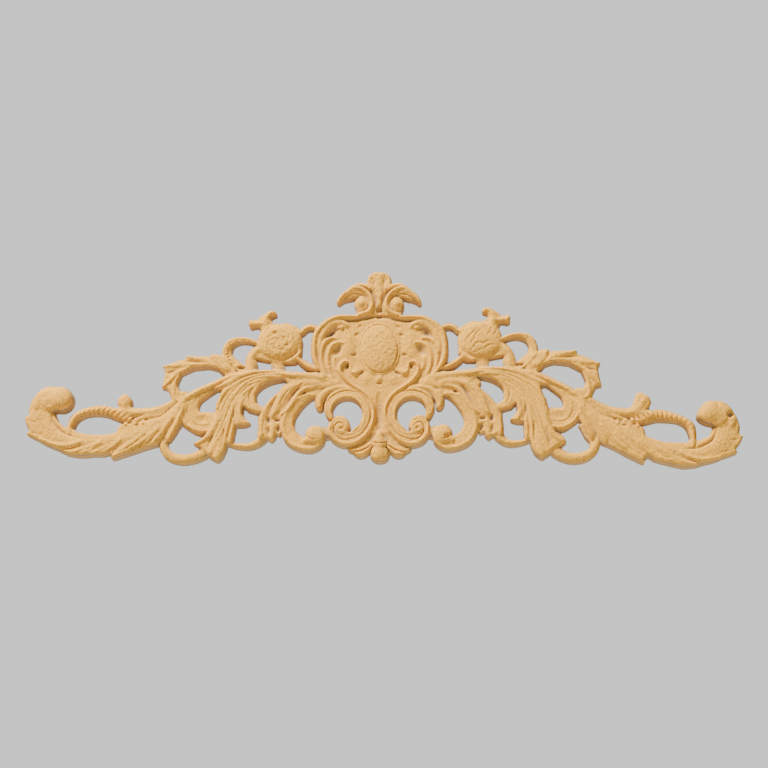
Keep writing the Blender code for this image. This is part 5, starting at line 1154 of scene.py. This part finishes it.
def mark_painted_shade(mesh):
    """Notes at each corner of each face how much painted shade it gets: how deep in a hollow it lies, and
    set shares on the rim, the wall and the back
    """
    places = np.empty(3 * len(mesh.vertices))
    mesh.vertices.foreach_get("co", places)
    x, y, z = places.reshape(-1, 3).T
    cell = AROUND / CELLS_AROUND
    row, column = (np.rint((v - v.min()) / cell).astype(int) + SPARE_CELLS for v in (z, x))
    sheet = (row.max() + SPARE_CELLS + 1, column.max() + SPARE_CELLS + 1)
    total, count = np.zeros(sheet), np.zeros(sheet)
    front = y < -FRONT_FROM * EDGE
    np.add.at(total, (row[front], column[front]), -y[front])
    np.add.at(count, (row[front], column[front]), 1.0)
    level = averaged(total / np.maximum(count, 1), count > 0, AROUND / cell)
    hollow = smooth((level[row, column] + y - SHALLOW) / (DEEP - SHALLOW))
    # set shares of painted shade on the rim and on the wall, whatever their depth
    hollow = np.where(front, hollow, np.where(y < -RIM_FROM * EDGE, RIM_PAINTED_SHADE, WALL_PAINTED_SHADE))
    corners = np.empty(len(mesh.loops), int)
    mesh.loops.foreach_get("vertex_index", corners)
    facing = np.empty(3 * len(mesh.polygons))
    mesh.polygons.foreach_get("normal", facing)
    # the back gets a little painted shade too
    behind = np.repeat(facing.reshape(-1, 3)[:, 1] > BACK_FROM, 3)
    hollow = np.where(behind, BACK_PAINTED_SHADE, hollow[corners])
    mesh.attributes.new("hollow", "FLOAT", "CORNER").data.foreach_set("value", hollow)


def keep_in_box(mesh):
    """Thinning may move a tip a hair past the box of the solid"""
    for vertex in mesh.vertices:
        vertex.co = [min(max(v, low), high) for v, low, high in zip(vertex.co, *cad_box)]


def carved_piece():
    mesh = thinned(relief_mesh("frieze_carved", FINE_PITCH, draw_grained), FINE_FACES)
    keep_in_box(mesh)
    mark_painted_shade(mesh)
    mesh.shade_smooth()
    mesh.set_sharp_from_angle(angle=math.radians(SHARP))
    mesh.materials.append(cast_wood_material())
    piece = placed("frieze_carved", mesh)
    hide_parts("frieze")
    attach(piece, "root")


def floor():
    mesh = bpy.data.meshes.new("floor")
    corners = [(FLOOR_REACH * a, FLOOR_REACH * b, 0) for a, b in ((-1, -1), (1, -1), (1, 1), (-1, 1))]
    mesh.from_pydata(corners, [], [(0, 1, 2, 3)])
    mesh.materials.append(plain_material("pale_floor", FLOOR_PALE, FLOOR_ROUGH))
    plane = placed("floor", mesh)
    plane.location = (0, 0, -FLOOR_BELOW)


def soft_light(name, place, size, power, colour):
    data = bpy.data.lights.new(name, "AREA")
    data.shape = "SQUARE"
    data.size = size
    data.energy = power
    data.color = colour
    lamp = placed(name, data)
    lamp.location = place
    lamp.rotation_euler = Vector(place).to_track_quat("Z", "Y").to_euler()


def studio():
    world = bpy.data.worlds.new("studio")
    world.use_nodes = True
    ground = world.node_tree.nodes["Background"]
    ground.inputs["Color"].default_value = STUDIO_WHITE
    facing = world.node_tree.nodes.new("ShaderNodeTexCoord")
    parts = world.node_tree.nodes.new("ShaderNodeSeparateXYZ")
    brighter = world.node_tree.nodes.new("ShaderNodeMapRange")
    ranges = (*FRONT_TO_BACK, FRONT_GLOW, BACK_GLOW)
    for socket, value in zip(("From Min", "From Max", "To Min", "To Max"), ranges):
        brighter.inputs[socket].default_value = value
    world.node_tree.links.new(facing.outputs["Generated"], parts.inputs[0])
    world.node_tree.links.new(parts.outputs["Y"], brighter.inputs["Value"])
    world.node_tree.links.new(brighter.outputs["Result"], ground.inputs["Strength"])
    bpy.context.scene.world = world
    for lamp in LAMPS:
        soft_light(*lamp)


def camera():
    azimuth, elevation = math.radians(AZIMUTH), math.radians(ELEVATION)
    level = math.cos(elevation)
    back = Vector((math.sin(azimuth) * level, -math.cos(azimuth) * level, math.sin(elevation)))
    data = bpy.data.cameras.new("camera")
    data.lens = data.sensor_width * DISTANCE / FRAME_WIDTH
    data.clip_end = 100
    eye = placed("camera", data)
    eye.location = Vector(AIM) + DISTANCE * back
    turned = back.to_track_quat("Z", "Y") @ Quaternion((0, 0, 1), math.radians(ROLL))
    eye.rotation_euler = turned.to_euler()
    bpy.context.scene.camera = eye


camera()
carved_piece()
floor()
studio()
